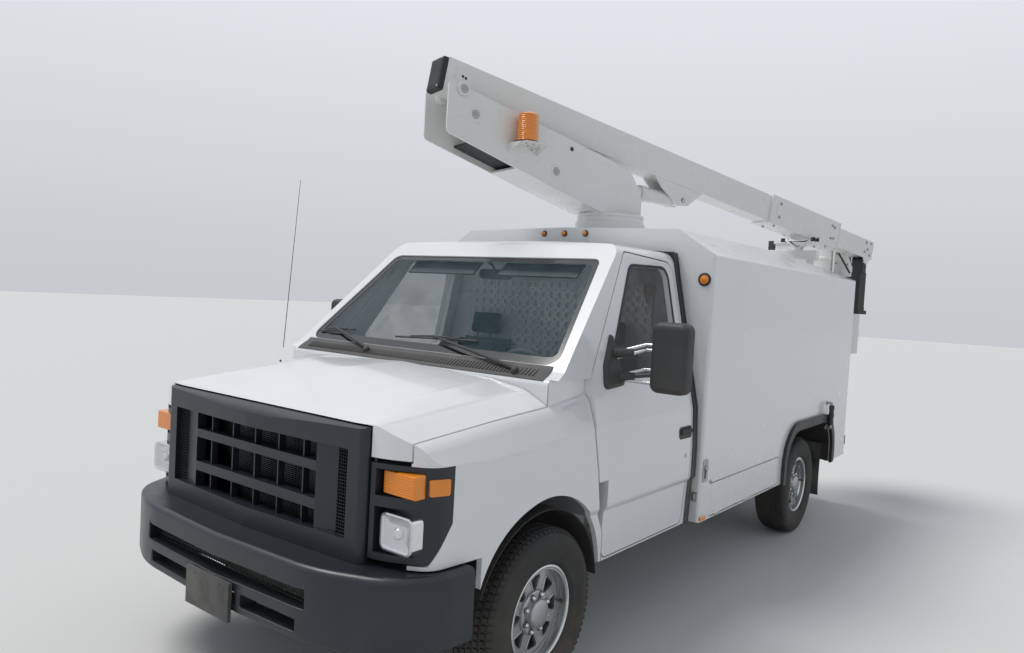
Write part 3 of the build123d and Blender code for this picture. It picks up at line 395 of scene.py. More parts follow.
def scatter_tree():
    """Puts a part on each point, turned as the point's own angles say, and spun at random."""
    sockets = {
        "Points": ("Geometry", None), "Part": ("Object", None), "Finish": ("Material", None),
        "Spin": ("Float", None), "Seed": ("Int", None),
    }
    tree, given, result = start_tree("scatter", "GeometryNodeTree", sockets, "Geometry", "Geometry")
    part = add_node(tree, "GeometryNodeObjectInfo", {"Object": given["Part"]})
    turn = add_node(tree, "GeometryNodeInputNamedAttribute", {"Name": "turn"}, data_type="FLOAT_VECTOR")
    facing = add_node(tree, "FunctionNodeEulerToRotation", {"Euler": turn.outputs["Attribute"]})
    limits = {"Max": given["Spin"], "Seed": given["Seed"]}
    chance = add_node(tree, "FunctionNodeRandomValue", limits, data_type="FLOAT")
    spin = add_node(tree, "ShaderNodeCombineXYZ", {"Z": chance.outputs["Value"]})
    spun = add_node(tree, "FunctionNodeEulerToRotation", {"Euler": spin.outputs["Vector"]})
    turns = {"Rotation": facing.outputs["Rotation"], "Rotate By": spun.outputs["Rotation"]}
    both = add_node(tree, "FunctionNodeRotateRotation", turns, rotation_space="LOCAL")
    copies = add_node(tree, "GeometryNodeInstanceOnPoints", {
        "Points": given["Points"], "Instance": part.outputs["Geometry"], "Rotation": both.outputs["Rotation"],
    })
    finished(tree, copies.outputs["Instances"], given["Finish"], result)
    return tree


scatter = scatter_tree()


def repeated(name, part, spots, body, material, place=truck, spin=0.0, seed=1):
    """One piece of many copies of a part, drawn in millimetres with its foot at the origin.

    spots is rows of (point, direction that the part's Z axis takes, or its turn as three angles).
    """
    bmesh.ops.recalc_face_normals(part, faces=part.faces)
    pattern = bpy.data.meshes.new(name + "_part")
    part.to_mesh(pattern)
    part.free()
    pattern.transform(Matrix.Scale(0.001, 4))
    source = object_from(pattern, name + "_part")
    carrier = bpy.data.meshes.new(name)
    carrier.from_pydata([place @ Vector(point) for point, facing in spots], [], [])
    turns = carrier.attributes.new("turn", "FLOAT_VECTOR", "POINT")
    for index, (point, facing) in enumerate(spots):
        if len(facing) == 4:
            turns.data[index].vector = facing[1:]
        else:
            way = place.to_3x3() @ Vector(facing)
            turns.data[index].vector = way.to_track_quat("Z", "Y").to_euler()
    piece = object_from(carrier, name)
    array = piece.modifiers.new("scatter", "NODES")
    array.node_group = scatter
    values = {"Part": source, "Finish": material, "Spin": spin, "Seed": seed}
    for item in scatter.interface.items_tree:
        if item.in_out == "INPUT" and item.name in values:
            array[item.identifier] = values[item.name]
    made_plain(piece)
    bpy.data.objects.remove(source)
    for polygon in piece.data.polygons:
        polygon.use_smooth = False
    return settle(piece, name, body, material)


def bolt_part(radius, height):
    """A hexagon bolt head on its washer, standing on the origin along Z."""
    form = bmesh.new()
    add_lathe(form, (0, 0, 0), (0, 0, 1), [(0, radius * 1.35), (height * 0.25, radius * 1.35)], 16)
    add_lathe(form, (0, 0, height * 0.25), (0, 0, 1), [
        (0, radius), (height * 0.6, radius), (height * 0.75, radius * 0.8),
    ], 6)
    return form


frame_black = coated("frame_black", (0.018, 0.018, 0.02, 1), (0.03, 0.03, 0.032, 1), 0.5,
                     (60.0, 0.3, 0.002), (1.1, 0.75, film_colour))
panel("chassis_rails", "chassis_frame", 0.003, frame_black, 2)
rail_spots = []
for sign in (1, -1):
    for y, z in rail_bolts:
        for off in (-28, 28):
            rail_spots.append(((sign * (rail_face_x - 1), y + off, z), (sign, 0, 0)))
repeated("rail_bolts", bolt_part(9, 12), rail_spots, "chassis", frame_black, spin=6.0)

# Engine and driveline
# A cast iron engine and gearbox, a steel propeller shaft and a welded exhaust. They are bolted to
# the crossmembers and show only from below and through the wheel openings.
rough_cast = coated("rough_cast", (0.085, 0.08, 0.078, 1), (0.14, 0.125, 0.11, 1), 0.62,
                    (180.0, 0.6, 0.002), (1.0, 0.6, film_colour), metallic=0.5)
bare_pipe = coated("bare_pipe", (0.34, 0.31, 0.28, 1), (0.2, 0.15, 0.115, 1), 0.48,
                   (120.0, 0.4, 0.001), (0.9, 0.6, film_colour), metallic=0.8)
tank_plastic = coated("tank_plastic", (0.02, 0.02, 0.021, 1), (0.03, 0.03, 0.03, 1), 0.55,
                      (300.0, 0.3, 0.0008), (1.0, 0.7, film_colour))
panel("engine", "engine_block", 0.02, rough_cast)
panel("gearbox_and_shaft", "driveline", 0.003, rough_cast, 2)
panel("exhaust_pipe", "exhaust", 0.006, bare_pipe, 2)
panel("tank", "fuel_tank", 0.004, tank_plastic, 2)
silencer_x, silencer_z = -230, 592.7
silencer_bands = bmesh.new()
for y in (1512, 1692, 1992, 2172):
    add_lathe(silencer_bands, (silencer_x, y, silencer_z), (0, 1, 0),
              [(0, 91), (2, 94.5), (14, 94.5), (16, 91)], 40)
finish(silencer_bands, "silencer_bands", "chassis", bare_pipe)

# Axles and steering
# Forged beams and a cast rear casing in chassis black, knuckles in rough cast steel, with the brake
# drums' backs behind the wheels. The knuckles turn on the kingpins.
sides = (("left", 1), ("right", -1))
kingpin_x = 745
kingpin_reach = 86.4
axle_height = 375
panel("front_beams", "front_axle", 0.003, frame_black, 2)
panel("rear_casing", "rear_axle", 0.003, frame_black, 2)
for side, sign in sides:
    panel("front_knuckle_" + side, "knuckle_" + side, 0.002, rough_cast, 2)
    nuts = []
    for way in (1, -1):
        nuts.append(((sign * kingpin_x, 0, axle_height + way * kingpin_reach), (0, 0, way)))
    repeated("kingpin_nuts_" + side, bolt_part(15, 16), nuts, "steer_" + side, rough_cast)

# Cab shell
# A pressed steel cab, welded and painted glossy white. A black rubber bellows seals the gap between
# its back and the body, and a black plastic cowl grille lies between the hood and the windshield.
dust_colour = (0.55, 0.52, 0.47, 1)
cab_back = 1400
body_front = 1440
cab_half = ((0, 2077), (803, 2043), (952, 1345), (991, 1166), (1003, 950), (1003, 770), (985, 745),
            (976, 500))
seal_depth = 60
# Each row is (y, how far inside the cab's skin the seal lies)
seal_rows = ((cab_back - 27, -3), (cab_back - 24, -7), (cab_back - 4, -7), (cab_back + 2, 3),
             (cab_back + 12, -5), (cab_back + 22, 4), (body_front - 10, -5), (body_front - 1, 2))
cowl_edges = ((52, 870), (86, 872), (118, 868), (137, 864))
antenna_base = (-880, -42, 1380)
antenna_tip = (-872, 20, 2337)
# Each wiper is its pivot and the two ends of its blade, as (x, y)
wipers = (((690, 84), (-219, 200), (345, 220)), ((-330, 96), (-835, 186), (-560, 214)))
over_cowl = 1600
over_hood = 1700
over_glass = 2300


def add_box(form, low, high):
    """A box between two opposite corners, given in any order."""
    low, high = (Vector([pick(pair) for pair in zip(low, high)]) for pick in (min, max))
    size = high - low
    middle = (high + low) / 2
    made = bmesh.ops.create_cube(form, size=1.0)["verts"]
    bmesh.ops.scale(form, vec=size, verts=made)
    bmesh.ops.translate(form, vec=middle, verts=made)


# Where a point (u, v) lies on the way w along an axis: x takes (y, z), y takes (x, z), z takes (x, y)
along_axis = {
    "x": lambda u, v, w: (w, u, v),
    "y": lambda u, v, w: (u, w, v),
    "z": lambda u, v, w: (u, v, w),
}


def add_prism(form, outline, low, high, axis):
    """An outline of (u, v) carried along an axis between two places, given in any order."""
    ends = [[form.verts.new(along_axis[axis](u, v, w)) for u, v in outline] for w in sorted((low, high))]
    for corners in ends:
        form.faces.new(corners)
    add_walls(form, ends)


def add_walls(form, rings):
    """Quads between rings of equally many points."""
    for low, high in zip(rings, rings[1:]):
        for index in range(len(low)):
            after = (index + 1) % len(low)
            form.faces.new((low[index], low[after], high[after], high[index]))


def close_up(form, rings):
    """Walls between rings, and a face in the first and the last one."""
    add_walls(form, rings)
    form.faces.new(rings[0])
    form.faces.new(rings[-1])


def add_tube(form, points, radius, sides=10):
    """A round bar along points, closed at both ends; radius may be one value or one for each point."""
    points = [Vector(point) for point in points]
    radii = radius if isinstance(radius, (list, tuple)) else [radius] * len(points)
    rings = []
    up = (points[1] - points[0]).orthogonal().normalized()
    for index, point in enumerate(points):
        before = points[max(index - 1, 0)]
        after = points[min(index + 1, len(points) - 1)]
        way = (after - before).normalized()
        up = (up - up.dot(way) * way).normalized()
        out = way.cross(up)
        ring = []
        for step in range(sides):
            angle = 2 * math.pi * step / sides
            off = up * math.cos(angle) + out * math.sin(angle)
            ring.append(form.verts.new(point + off * radii[index]))
        rings.append(ring)
    close_up(form, rings)


surfaces = {}


def on_surface(node, start, direction, up=(0, 0, 1)):
    """The place where a ray meets a node: Z leaves its surface, Y points up, millimetres."""
    if node not in surfaces:
        mesh = frame["nodes"][node].data
        corners = [tuple(vertex.co) for vertex in mesh.vertices]
        surfaces[node] = BVHTree.FromPolygons(corners, [tuple(face.vertices) for face in mesh.polygons])
    way = Vector(direction).normalized()
    spot, normal = surfaces[node].ray_cast(truck @ Vector(start), way)[:2]
    if spot is None:
        raise ValueError(f"{node} isn't hit from {tuple(start)}")
    if normal.dot(way) > 0:
        normal = -normal
    upright = (Vector(up) - normal * Vector(up).dot(normal)).normalized()
    turned = Matrix((upright.cross(normal), upright, normal)).transposed().to_4x4()
    return Matrix.Translation(spot) @ turned @ Matrix.Scale(0.001, 4)


def add_laid_strip(form, node, rows, direction, lift, thick, closed=True):
    """A thin closed sheet laid on a node: each row of start points is carried along a direction.

    The rows run side by side, and closed joins the last point of each row to its first.
    """
    layers = []
    for row in rows:
        upper = []
        lower = []
        for start in row:
            place = on_surface(node, start, direction, (0.1, 0.3, 1))
            upper.append(form.verts.new(to_truck @ (place @ Vector((0, 0, lift + thick)))))
            lower.append(form.verts.new(to_truck @ (place @ Vector((0, 0, lift)))))
        layers.append((upper, lower))
    count = len(rows[0])
    steps = range(count if closed else count - 1)
    for (upper0, lower0), (upper1, lower1) in zip(layers, layers[1:]):
        for index in steps:
            after = (index + 1) % count
            form.faces.new((upper0[index], upper0[after], upper1[after], upper1[index]))
            form.faces.new((lower0[index], lower1[index], lower1[after], lower0[after]))
    for upper, lower in (layers[0], layers[-1]):
        for index in steps:
            after = (index + 1) % count
            form.faces.new((upper[index], upper[after], lower[after], lower[index]))
    if not closed:
        for index in (0, count - 1):
            for (upper0, lower0), (upper1, lower1) in zip(layers, layers[1:]):
                form.faces.new((upper0[index], upper1[index], lower1[index], lower0[index]))


cab_paint = coated("cab_paint", (0.80, 0.81, 0.82, 1), (0.76, 0.77, 0.785, 1), 0.2,
                   (55.0, 0.05, 0.0015), (0.95, 0.3, dust_colour), coat=0.55)
cowl_plastic = coated("cowl_plastic", (0.022, 0.023, 0.025, 1), (0.045, 0.043, 0.042, 1),
                      0.55, (420.0, 0.4, 0.0008), (1.6, 0.4, dust_colour))
black_rubber_and_painted_shade = coated("black_rubber_and_painted_shade", (0.012, 0.014, 0.015, 1), (0.03, 0.034, 0.036, 1),
                      0.62, (240.0, 0.4, 0.0008), (1.2, 0.5, dust_colour))
panel("cab_body", "cab_shell", 0.006, cab_paint)
seal = bmesh.new()
seal_back = [(max(y, cab_back + 1), inset + seal_depth) for y, inset in reversed(seal_rows)]
layers = []
for y, inset in list(seal_rows) + seal_back:
    half = []
    for x, z in cab_half:
        half.append((max(x - inset, 0), z - inset if z > 1000 else max(z, 500 + inset)))
    half[0] = (0, half[0][1])
    loop = half + [(-x, z) for x, z in reversed(half) if x]
    layers.append([seal.verts.new((x, y, z)) for x, z in loop])
add_walls(seal, layers + [layers[0]])
finish(seal, "cab_to_body_seal", "chassis", black_rubber_and_painted_shade, angle=60.0)

cowl_sides = bmesh.new()
for sign in (1, -1):
    add_box(cowl_sides, (sign * 902, 50, 1240), (sign * 906, 335, 1380))
finish(cowl_sides, "cowl_side_panels", "chassis", cab_paint)
cowl = bmesh.new()
cowl_rows = []
for y, half in cowl_edges:
    cowl_rows.append([(half * (2 * step / 24 - 1), y, over_cowl) for step in range(25)])
add_laid_strip(cowl, "cab_shell", cowl_rows, (0, 0, -1), 0.5, 4.0, closed=False)
finish(cowl, "cowl_grille", "chassis", cowl_plastic, edge=1.5)
louvre = bmesh.new()
add_box(louvre, (-3, -26, 0), (3, 26, 5))
louvre_spots = []
for step in range(-38, 39):
    x = step * 21.0
    place = to_truck @ on_surface("cab_shell", (x, 92, over_cowl), (0, 0, -1)).translation
    louvre_spots.append((place + Vector((0, 0, 3.5)), (0, math.radians(29), 0, 0)))
repeated("cowl_louvres", louvre, louvre_spots, "chassis", cowl_plastic)

wiper = bmesh.new()
for pivot, *blade in wipers:
    pivot = to_truck @ on_surface("cab_shell", (*pivot, over_hood), (0, 0, -1)).translation
    ends = []
    for end in blade:
        place = on_surface("windshield", (*end, over_glass), (0, 0, -1))
        ends.append(to_truck @ (place @ Vector((0, 0, 9))))
    middle = (ends[0] + ends[1]) / 2
    add_tube(wiper, [ends[0], middle + Vector((0, -1, 1)), ends[1]], 5, 6)
    add_tube(wiper, [ends[0] * 0.8 + ends[1] * 0.2 + Vector((0, -8, 8)), middle + Vector((0, -14, 14)),
                     ends[0] * 0.2 + ends[1] * 0.8 + Vector((0, -8, 8))], [3, 6, 3], 6)
    add_tube(wiper, [pivot + Vector((0, 0, 18)), pivot.lerp(middle, 0.5) + Vector((0, -12, 18)),
                     middle + Vector((0, -14, 14))], [11, 8, 6], 8)
    add_lathe(wiper, pivot - Vector((0, 0, 4)), (0, -0.5, 1), [(0, 20), (22, 18), (30, 12), (32, 0)], 20)
finish(wiper, "wipers", "chassis", cowl_plastic)

mast = bmesh.new()
middle = Vector(antenna_base).lerp(Vector(antenna_tip), 0.5)
add_tube(mast, [antenna_base, middle, antenna_tip], [2.2, 1.8, 1.2], 8)
finish(mast, "antenna", "chassis", cowl_plastic)
mast_foot = bmesh.new()
add_lathe(mast_foot, (0, 0, -3), (0, 0, 1), [(0, 17), (6, 17), (14, 9), (40, 5), (44, 0)], 20)
finish(mast_foot, "antenna_foot", "chassis", cowl_plastic,
       place=on_surface("hood", (*antenna_base[:2], over_hood), (0, 0, -1), (0, 1, 0)))

# Cab interior
# Two bucket seats of knitted cloth over moulded foam, sewn in channels and set on black plastic boxes,
# a grained dark dashboard with a padded steering wheel, and a white steel bulkhead with round holes.
seat_centres = (-470, 470)
seat_lean = math.radians(11.6)
pad_voxel = 0.009
pad_swell = 0.024
pad_frames = 20
# Each cushion is (name, width, length, thickness, foot y, foot z, lean, channel places along the length)
seat_pads = (
    ("seat", 0.435, 0.42, 0.085, 955, 852, 0.0, (-0.13, 0.0, 0.13)),
    ("back", 0.425, 0.55, 0.07, 1186, 1190, math.pi / 2 - seat_lean, (-0.19, -0.06, 0.07, 0.2)),
    ("headrest", 0.225, 0.14, 0.055, 1264, 1556, math.pi / 2 - seat_lean, ()),
)
hinge_cover = ((1010, 812), (1215, 812), (1222, 935), (1160, 975), (1120, 930), (1010, 880))
vent_places = (-740, -150, 150, 740)
bulkhead_y = 1340
hole_pitch = 62
hole_radius = 19
wheel_centre = Vector((440, 560, 1290))
wheel_tilt = math.radians(-62)
wheel_reach = 191


def channelled(mesh, channels, width):
    """Presses sewn channels into the crowned face, across it and along both its edges."""
    for vertex in mesh.vertices:
        if vertex.normal.z < 0.2:
            continue
        press = 0.0
        for place in channels:
            press += 0.009 * math.exp(-((vertex.co.y - place) / 0.007) ** 2)
        for place in (-width * 0.3, width * 0.3):
            press += 0.009 * math.exp(-((vertex.co.x - place) / 0.007) ** 2)
        vertex.co.z -= min(press, 0.011)


def seat_pad(name, width, length, thickness):
    """A cushion blown up from a slack box whose underside is held, in metres round the origin."""
    form = bmesh.new()
    add_box(form, (-width / 2, -length / 2, -thickness / 2), (width / 2, length / 2, thickness / 2))
    mesh = bpy.data.meshes.new(name)
    form.to_mesh(mesh)
    form.free()
    pad = object_from(mesh, name)
    soft = pad.modifiers.new("round", "BEVEL")
    soft.width = thickness * 0.42
    soft.segments = 4
    even = pad.modifiers.new("even", "REMESH")
    even.mode = "VOXEL"
    even.voxel_size = pad_voxel
    made_plain(pad)
    held = pad.vertex_groups.new(name="held")
    held.add([v.index for v in pad.data.vertices if v.co.z < -thickness * 0.45], 1.0, "REPLACE")
    rest = [vertex.co.copy() for vertex in pad.data.vertices]
    cloth = pad.modifiers.new("cloth", "CLOTH")
    cloth.settings.use_pressure = True
    cloth.settings.uniform_pressure_force = 4.0
    cloth.settings.effector_weights.gravity = 0.0
    cloth.settings.vertex_group_mass = "held"
    cloth.point_cache.frame_start = 1
    cloth.point_cache.frame_end = pad_frames
    for step in range(1, pad_frames + 1):
        bpy.context.scene.frame_set(step)
    made_plain(pad)
    bpy.context.scene.frame_set(1)
    for vertex, start in zip(pad.data.vertices, rest):
        move = vertex.co - start
        if move.length > pad_swell:
            vertex.co = start + move.normalized() * pad_swell
    fine = pad.modifiers.new("fine", "SUBSURF")
    fine.levels = 1
    fine.render_levels = 1
    made_plain(pad)
    return pad


cabin_plastic = coated("cabin_plastic", (0.055, 0.057, 0.06, 1), (0.07, 0.072, 0.075, 1),
                       0.6, (420.0, 0.35, 0.0007), (0.4, 0.0, dust_colour))
seat_cloth = coated("seat_cloth", (0.030, 0.032, 0.036, 1), (0.05, 0.053, 0.058, 1), 0.9,
                    (700.0, 0.8, 0.001), (0.4, 0.0, dust_colour))
for label, width, length, thickness, foot_y, foot_z, lean, channels in seat_pads:
    model = seat_pad(label, width, length, thickness)
    channelled(model.data, channels, width)
    for index, x in enumerate(seat_centres):
        cushion = object_from(model.data.copy(), label)
        foot = truck @ Matrix.Translation((x, foot_y, foot_z)) @ Matrix.Rotation(lean, 4, "X")
        cushion.data.transform(foot @ Matrix.Scale(1000, 4))
        for polygon in cushion.data.polygons:
            polygon.use_smooth = True
        settle(cushion, f"{label}_cushion_{index + 1}", "chassis", seat_cloth)
    bpy.data.objects.remove(model)

boxes = bmesh.new()
for x in seat_centres:
    add_box(boxes, (x - 205, 745, 761), (x + 205, 1165, 812))
    add_prism(boxes, ((1178, 850), (1200, 850), (1300, 1455), (1280, 1458)), x - 195, x + 195, "x")
    for side in (-1, 1):
        add_prism(boxes, hinge_cover, x + side * 206, x + side * 228, "x")
        add_tube(boxes, [(x + side * 55, 1238, 1440), (x + side * 55, 1262, 1545)], 6, 10)
seat_boxes = finish(boxes, "seat_boxes", "chassis", cabin_plastic, edge=5, segments=3)
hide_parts("seats")

panel("dash", "dashboard", 0.012, cabin_plastic)
trim = bmesh.new()
add_prism(trim, ((240, 1327), (415, 1268), (452, 1292), (446, 1312), (350, 1392), (250, 1380)), 290, 590, "x")
add_box(trim, (-95, 424, 1164), (95, 437, 1252))
for x in vent_places:
    add_box(trim, (x - 62, 420, 1196), (x + 62, 434, 1252))
finish(trim, "dash_trim", "chassis", cabin_plastic, edge=6, segments=3)
slats = bmesh.new()
add_box(slats, (-48, 0, 0), (48, 8, 2.5))
slat_spots = []
for x in vent_places:
    for step in range(5):
        slat_spots.append(((x, 430, 1203 + step * 10), (0, 0.35, 0, 0)))
repeated("vent_slats", slats, slat_spots, "chassis", black_rubber_and_painted_shade)
dials = bmesh.new()
for x, radius in ((365, 34), (440, 44), (515, 34)):
    rows = [(0, radius), (5, radius), (5, radius - 5), (2, radius - 6)]
    add_lathe(dials, (x, 447, 1330), (0, 0.8, 0.6), rows, 28)
finish(dials, "dials", "chassis", black_rubber_and_painted_shade, angle=40)

steering_place = truck @ Matrix.Translation(wheel_centre) @ Matrix.Rotation(wheel_tilt, 4, "X")
steering = bmesh.new()
rings = []
for step in range(48):
    turn = 2 * math.pi * step / 48
    ring = []
    for part in range(12):
        around = 2 * math.pi * part / 12
        swell = 20.6 if step % 12 in (0, 1, 11) else 19.8
        out = wheel_reach + swell * math.cos(around)
        spot = (out * math.cos(turn), out * math.sin(turn), swell * math.sin(around))
        ring.append(steering.verts.new(spot))
    rings.append(ring)
add_walls(steering, rings + [rings[0]])
add_lathe(steering, (0, 0, -16), (0, 0, 1), [(0, 58), (6, 74), (26, 78), (40, 66), (46, 34), (47, 0)], 32)
for sign in (1, -1):
    add_prism(steering, ((sign * 60, -24), (sign * 178, -15), (sign * 178, 15), (sign * 60, 24)), -9, 12, "z")
add_prism(steering, ((-22, -60), (22, -60), (15, -180), (-15, -180)), -9, 12, "z")
finish(steering, "steering_wheel_cover", "chassis", cabin_plastic, place=steering_place, edge=4, angle=50)
shroud = bmesh.new()
down_column = (0, math.sin(wheel_tilt), -math.cos(wheel_tilt))
add_lathe(shroud, wheel_centre, down_column, [(28, 44), (34, 54), (110, 62), (185, 70)], 24)
add_tube(shroud, [(470, 500, 1262), (560, 505, 1292), (640, 512, 1310)], [7, 6, 9], 8)
add_tube(shroud, [(410, 500, 1262), (320, 505, 1292), (270, 512, 1310)], [7, 6, 11], 8)
finish(shroud, "column_shroud", "chassis", cabin_plastic, edge=3)

visors = bmesh.new()
for x0, x1 in ((-620, -90), (90, 620)):
    add_prism(visors, ((655, 1858), (668, 1850), (775, 1952), (764, 1962)), x0, x1, "x")
finish(visors, "sun_visors", "chassis", cabin_plastic, edge=5, segments=3)

hole_cell = bmesh.new()
half = hole_pitch / 2
rings = []
for z, hollow in ((0, False), (0, True), (2, True), (2, False)):
    loop = []
    for step in range(16):
        turn = 2 * math.pi * (step + 0.5) / 16
        u, v = math.cos(turn), math.sin(turn)
        reach = hole_radius if hollow else half / max(abs(u), abs(v))
        loop.append(hole_cell.verts.new((u * reach, v * reach, z)))
    rings.append(loop)
add_walls(hole_cell, rings + [rings[0]])
cell_spots = []
for row in range(15):
    z = 960 + row * hole_pitch
    reach = 12 if z < 1350 else round(12 - (z - 1350) / 340 - 0.2)
    for column in range(-reach, reach + 1):
        cell_spots.append(((column * hole_pitch, bulkhead_y, z), (0, 1, 0)))
repeated("bulkhead", hole_cell, cell_spots, "chassis", cab_paint)

# Windshield
# One laminated pane with a slight green tint, bonded behind a black ceramic border that is wider at
# its foot. The border hides the adhesive.
pane_foot = (0, 160, 1420)
pane_lean = math.radians(45.74)
pane_outline = ((880, 0, 70), (745, 754, 55), (-745, 754, 55), (-880, 0, 70))
pane_border = 34
glass_ripple = (1.5, 0.04, 0.004)


def tinted_glass(name, tint, clear, hazy):
    """Thin clear glass: a dark see-through tint that gains gloss at a glancing view."""
    material, tree, shader = new_material(name)
    place = add_node(tree, "ShaderNodeTexCoord").outputs["Object"]
    haze = mapped(tree, noise_at(tree, place, 5.0, 8.0), clear, hazy, 0.45, 0.8)
    facing = add_node(tree, "ShaderNodeLayerWeight").outputs["Facing"]
    glance = reckon(tree, "POWER", facing, 5.0)
    feed(tree, shader, {
        "Base Color": tint, "Roughness": 0.02, "IOR": 1.45, "Alpha": reckon(tree, "MAXIMUM", haze, glance),
        "Normal": rippled(tree, glass_ripple),
    })
    return material


def dress(node, material):
    """A node that keeps its own mesh gets its finish."""
    mesh = frame["nodes"][node].data
    mesh.materials.clear()
    mesh.materials.append(material)


def rectangle(u0, v0, u1, v1, radius):
    """The outline of a rectangle whose corners share one radius."""
    return (u0, v0, radius), (u1, v0, radius), (u1, v1, radius), (u0, v1, radius)


def rounded(rows, grow, steps=5):
    """Points round an outline of (u, v, corner radius), moved outwards by grow, steps to a corner."""
    count = len(rows)
    area = sum(rows[i - 1][0] * rows[i][1] - rows[i][0] * rows[i - 1][1] for i in range(count))
    turn = 1 if area > 0 else -1
    points = []
    for index, (u, v, radius) in enumerate(rows):
        here = Vector((u, v))
        back = (Vector(rows[index - 1][:2]) - here).normalized()
        on = (Vector(rows[(index + 1) % count][:2]) - here).normalized()
        half = back.angle(on) / 2
        middle = (back + on).normalized()
        convex = (-back.x * on.y + back.y * on.x) * turn > 0
        shift = grow if convex else -grow
        corner = here - middle * shift / math.sin(half)
        reach = max(radius + shift, 1)
        centre = corner + middle * reach / math.sin(half)
        start = (corner + back * reach / math.tan(half) - centre).normalized()
        end = (corner + on * reach / math.tan(half) - centre).normalized()
        for step in range(steps + 1):
            points.append(centre + start.slerp(end, step / steps) * reach)
    return points


def add_shell(form, outline, rows, axis="z", steps=5, start=0, sign=1):
    """A closed skin along an axis from start: each row is (how far the outline grows, how far along)."""
    rings = []
    for grow, along in rows:
        ring = []
        for u, v in rounded(outline, grow, steps):
            x, y, z = along_axis[axis](u, v, start + along)
            ring.append(form.verts.new((sign * x, y, z)))
        rings.append(ring)
    close_up(form, rings)


glass = tinted_glass("tinted_glass", (0.06, 0.12, 0.14, 1), 0.13, 0.24)
border_black = coated("border_black", (0.008, 0.009, 0.01, 1), (0.012, 0.013, 0.014, 1), 0.12,
                      (30.0, 0.03, 0.0005), (1.2, 0.0, dust_colour), coat=0.6)
dress("windshield", glass)
pane = truck @ Matrix.Translation(pane_foot) @ Matrix.Rotation(pane_lean, 4, "X")
border = bmesh.new()
border_rows = []
for grow in (-1.5, -pane_border / 2, -pane_border):
    row = []
    for u, v in rounded(pane_outline, grow, 6):
        low = max(0.0, 1 - v / 200) * 26 * (-grow / pane_border)
        row.append(to_truck @ (pane @ Vector((u, v + low, 220))))
    border_rows.append(row)
out_of_pane = (pane.to_3x3() @ Vector((0, 0, -1))).normalized()
add_laid_strip(border, "windshield", border_rows, out_of_pane, 0.2, 0.6)
finish(border, "windshield_border", "chassis", border_black)

# Rear view mirror
# A black moulded mirror on a stalk that is glued to the windshield.
mirror_outline = ((-120, 1835, 25), (120, 1835, 25), (112, 1893, 25), (-112, 1893, 25))
rear_mirror = bmesh.new()
add_prism(rear_mirror, rounded(mirror_outline, 0), 742, 768, "y")
add_tube(rear_mirror, [(0, 752, 1880), (0, 720, 1915), (0, 690, 1926)], 8, 8)
finish(rear_mirror, "rear_view_mirror", "chassis", cowl_plastic, edge=5)

# Cab doors
# Pressed steel doors in the cab's white, each with a black rubber channel round its window, a black
# flap handle in a dished cup and a key lock below it.
window_outline = ((505, 1385, 30), (845, 1930, 60), (1260, 1940, 60), (1262, 1370, 45))
door_handle = (1279, 1038)
door_lock = (1289, 908)
outside_x = 1150
lock_metal = coated("lock_metal", (0.55, 0.56, 0.57, 1), (0.45, 0.45, 0.46, 1), 0.25,
                    (400.0, 0.1, 0.0003), (1.0, 0.2, dust_colour), metallic=1.0)
door_glass = tinted_glass("door_glass", (0.012, 0.018, 0.02, 1), 0.32, 0.45)
for side, sign in sides:
    body = "cab_door_" + side
    node = "door_" + side
    inwards = (-sign, 0, 0)
    panel(body, node, 0.006, cab_paint)
    dress("door_glass_" + side, door_glass)
    channel = bmesh.new()
    channel_rows = []
    for grow in (1, 9, 17):
        channel_rows.append([(sign * outside_x, u, v) for u, v in rounded(window_outline, grow)])
    add_laid_strip(channel, node, channel_rows, inwards, 0.3, 4.0)
    finish(channel, "window_channel_" + side, body, black_rubber_and_painted_shade, angle=50)
    place = on_surface(node, (sign * outside_x, *door_handle), inwards)
    cup = bmesh.new()
    add_shell(cup, rectangle(-78, -34, 78, 34, 22), ((0, -1), (0, 3), (-5, 5), (-12, 2), (-22, 1)))
    finish(cup, "handle_cup_" + side, body, cowl_plastic, place, angle=25)
    flap = bmesh.new()
    add_shell(flap, ((-66, -8, 8), (66, -8, 8), (66, 20, 12), (-66, 20, 12)),
              ((0, 2), (0, 12), (-6, 17)), steps=4)
    finish(flap, "handle_flap_" + side, body, black_rubber_and_painted_shade, place, edge=1.5)
    lock = bmesh.new()
    add_lathe(lock, (0, 0, -1), (0, 0, 1), [(0, 13), (4, 13), (6, 10), (6, 6), (3, 5), (3, 0)], 24)
    place = on_surface(node, (sign * outside_x, *door_lock), inwards)
    finish(lock, "door_lock_" + side, body, lock_metal, place)

# Door mirrors
# Tall telescoping mirrors: a black grained housing with a ridge round it, a flat glass over a small
# wide-angle one at the back, and two pairs of bright tubes bolted to a black foot on the door.
housing_outline = rectangle(1095, 1318, 1285, 1660, 42)
# Each row is (how far the outline grows, y), from the rounded front to the glass
housing_rows = ((-34, 602), (-18, 604), (-6, 613), (-1, 628), (0, 650), (0, 684), (-5, 690), (-13, 690),
                (-15, 680))
# Each pane is (name, foot z, top z, bulge)
mirror_panes = (("flat", 1440, 1642, 1), ("wide", 1336, 1428, 5))
# Each row is (how far the foot's outline grows, how far off the door it lies)
foot_rows = ((-4, -22), (0, -20), (0, 6), (-5, 15), (-14, 20), (-26, 22))
mirror_foot = ((428, 1322, 30), (640, 1338, 26), (600, 1400, 40), (592, 1470, 30), (556, 1600, 12),
               (452, 1440, 30))
# Each arm is (foot y, foot z, height at the housing)
mirror_arms = ((566, 1500, 1545), (560, 1470, 1520), (590, 1385, 1425), (588, 1368, 1360))


def door_skin_x(z):
    """How far out the cab's side lies at a height, as its section says."""
    if z > 1345:
        return 952 - (z - 1345) * 0.2135
    return 991 - (z - 1166) * 0.2179


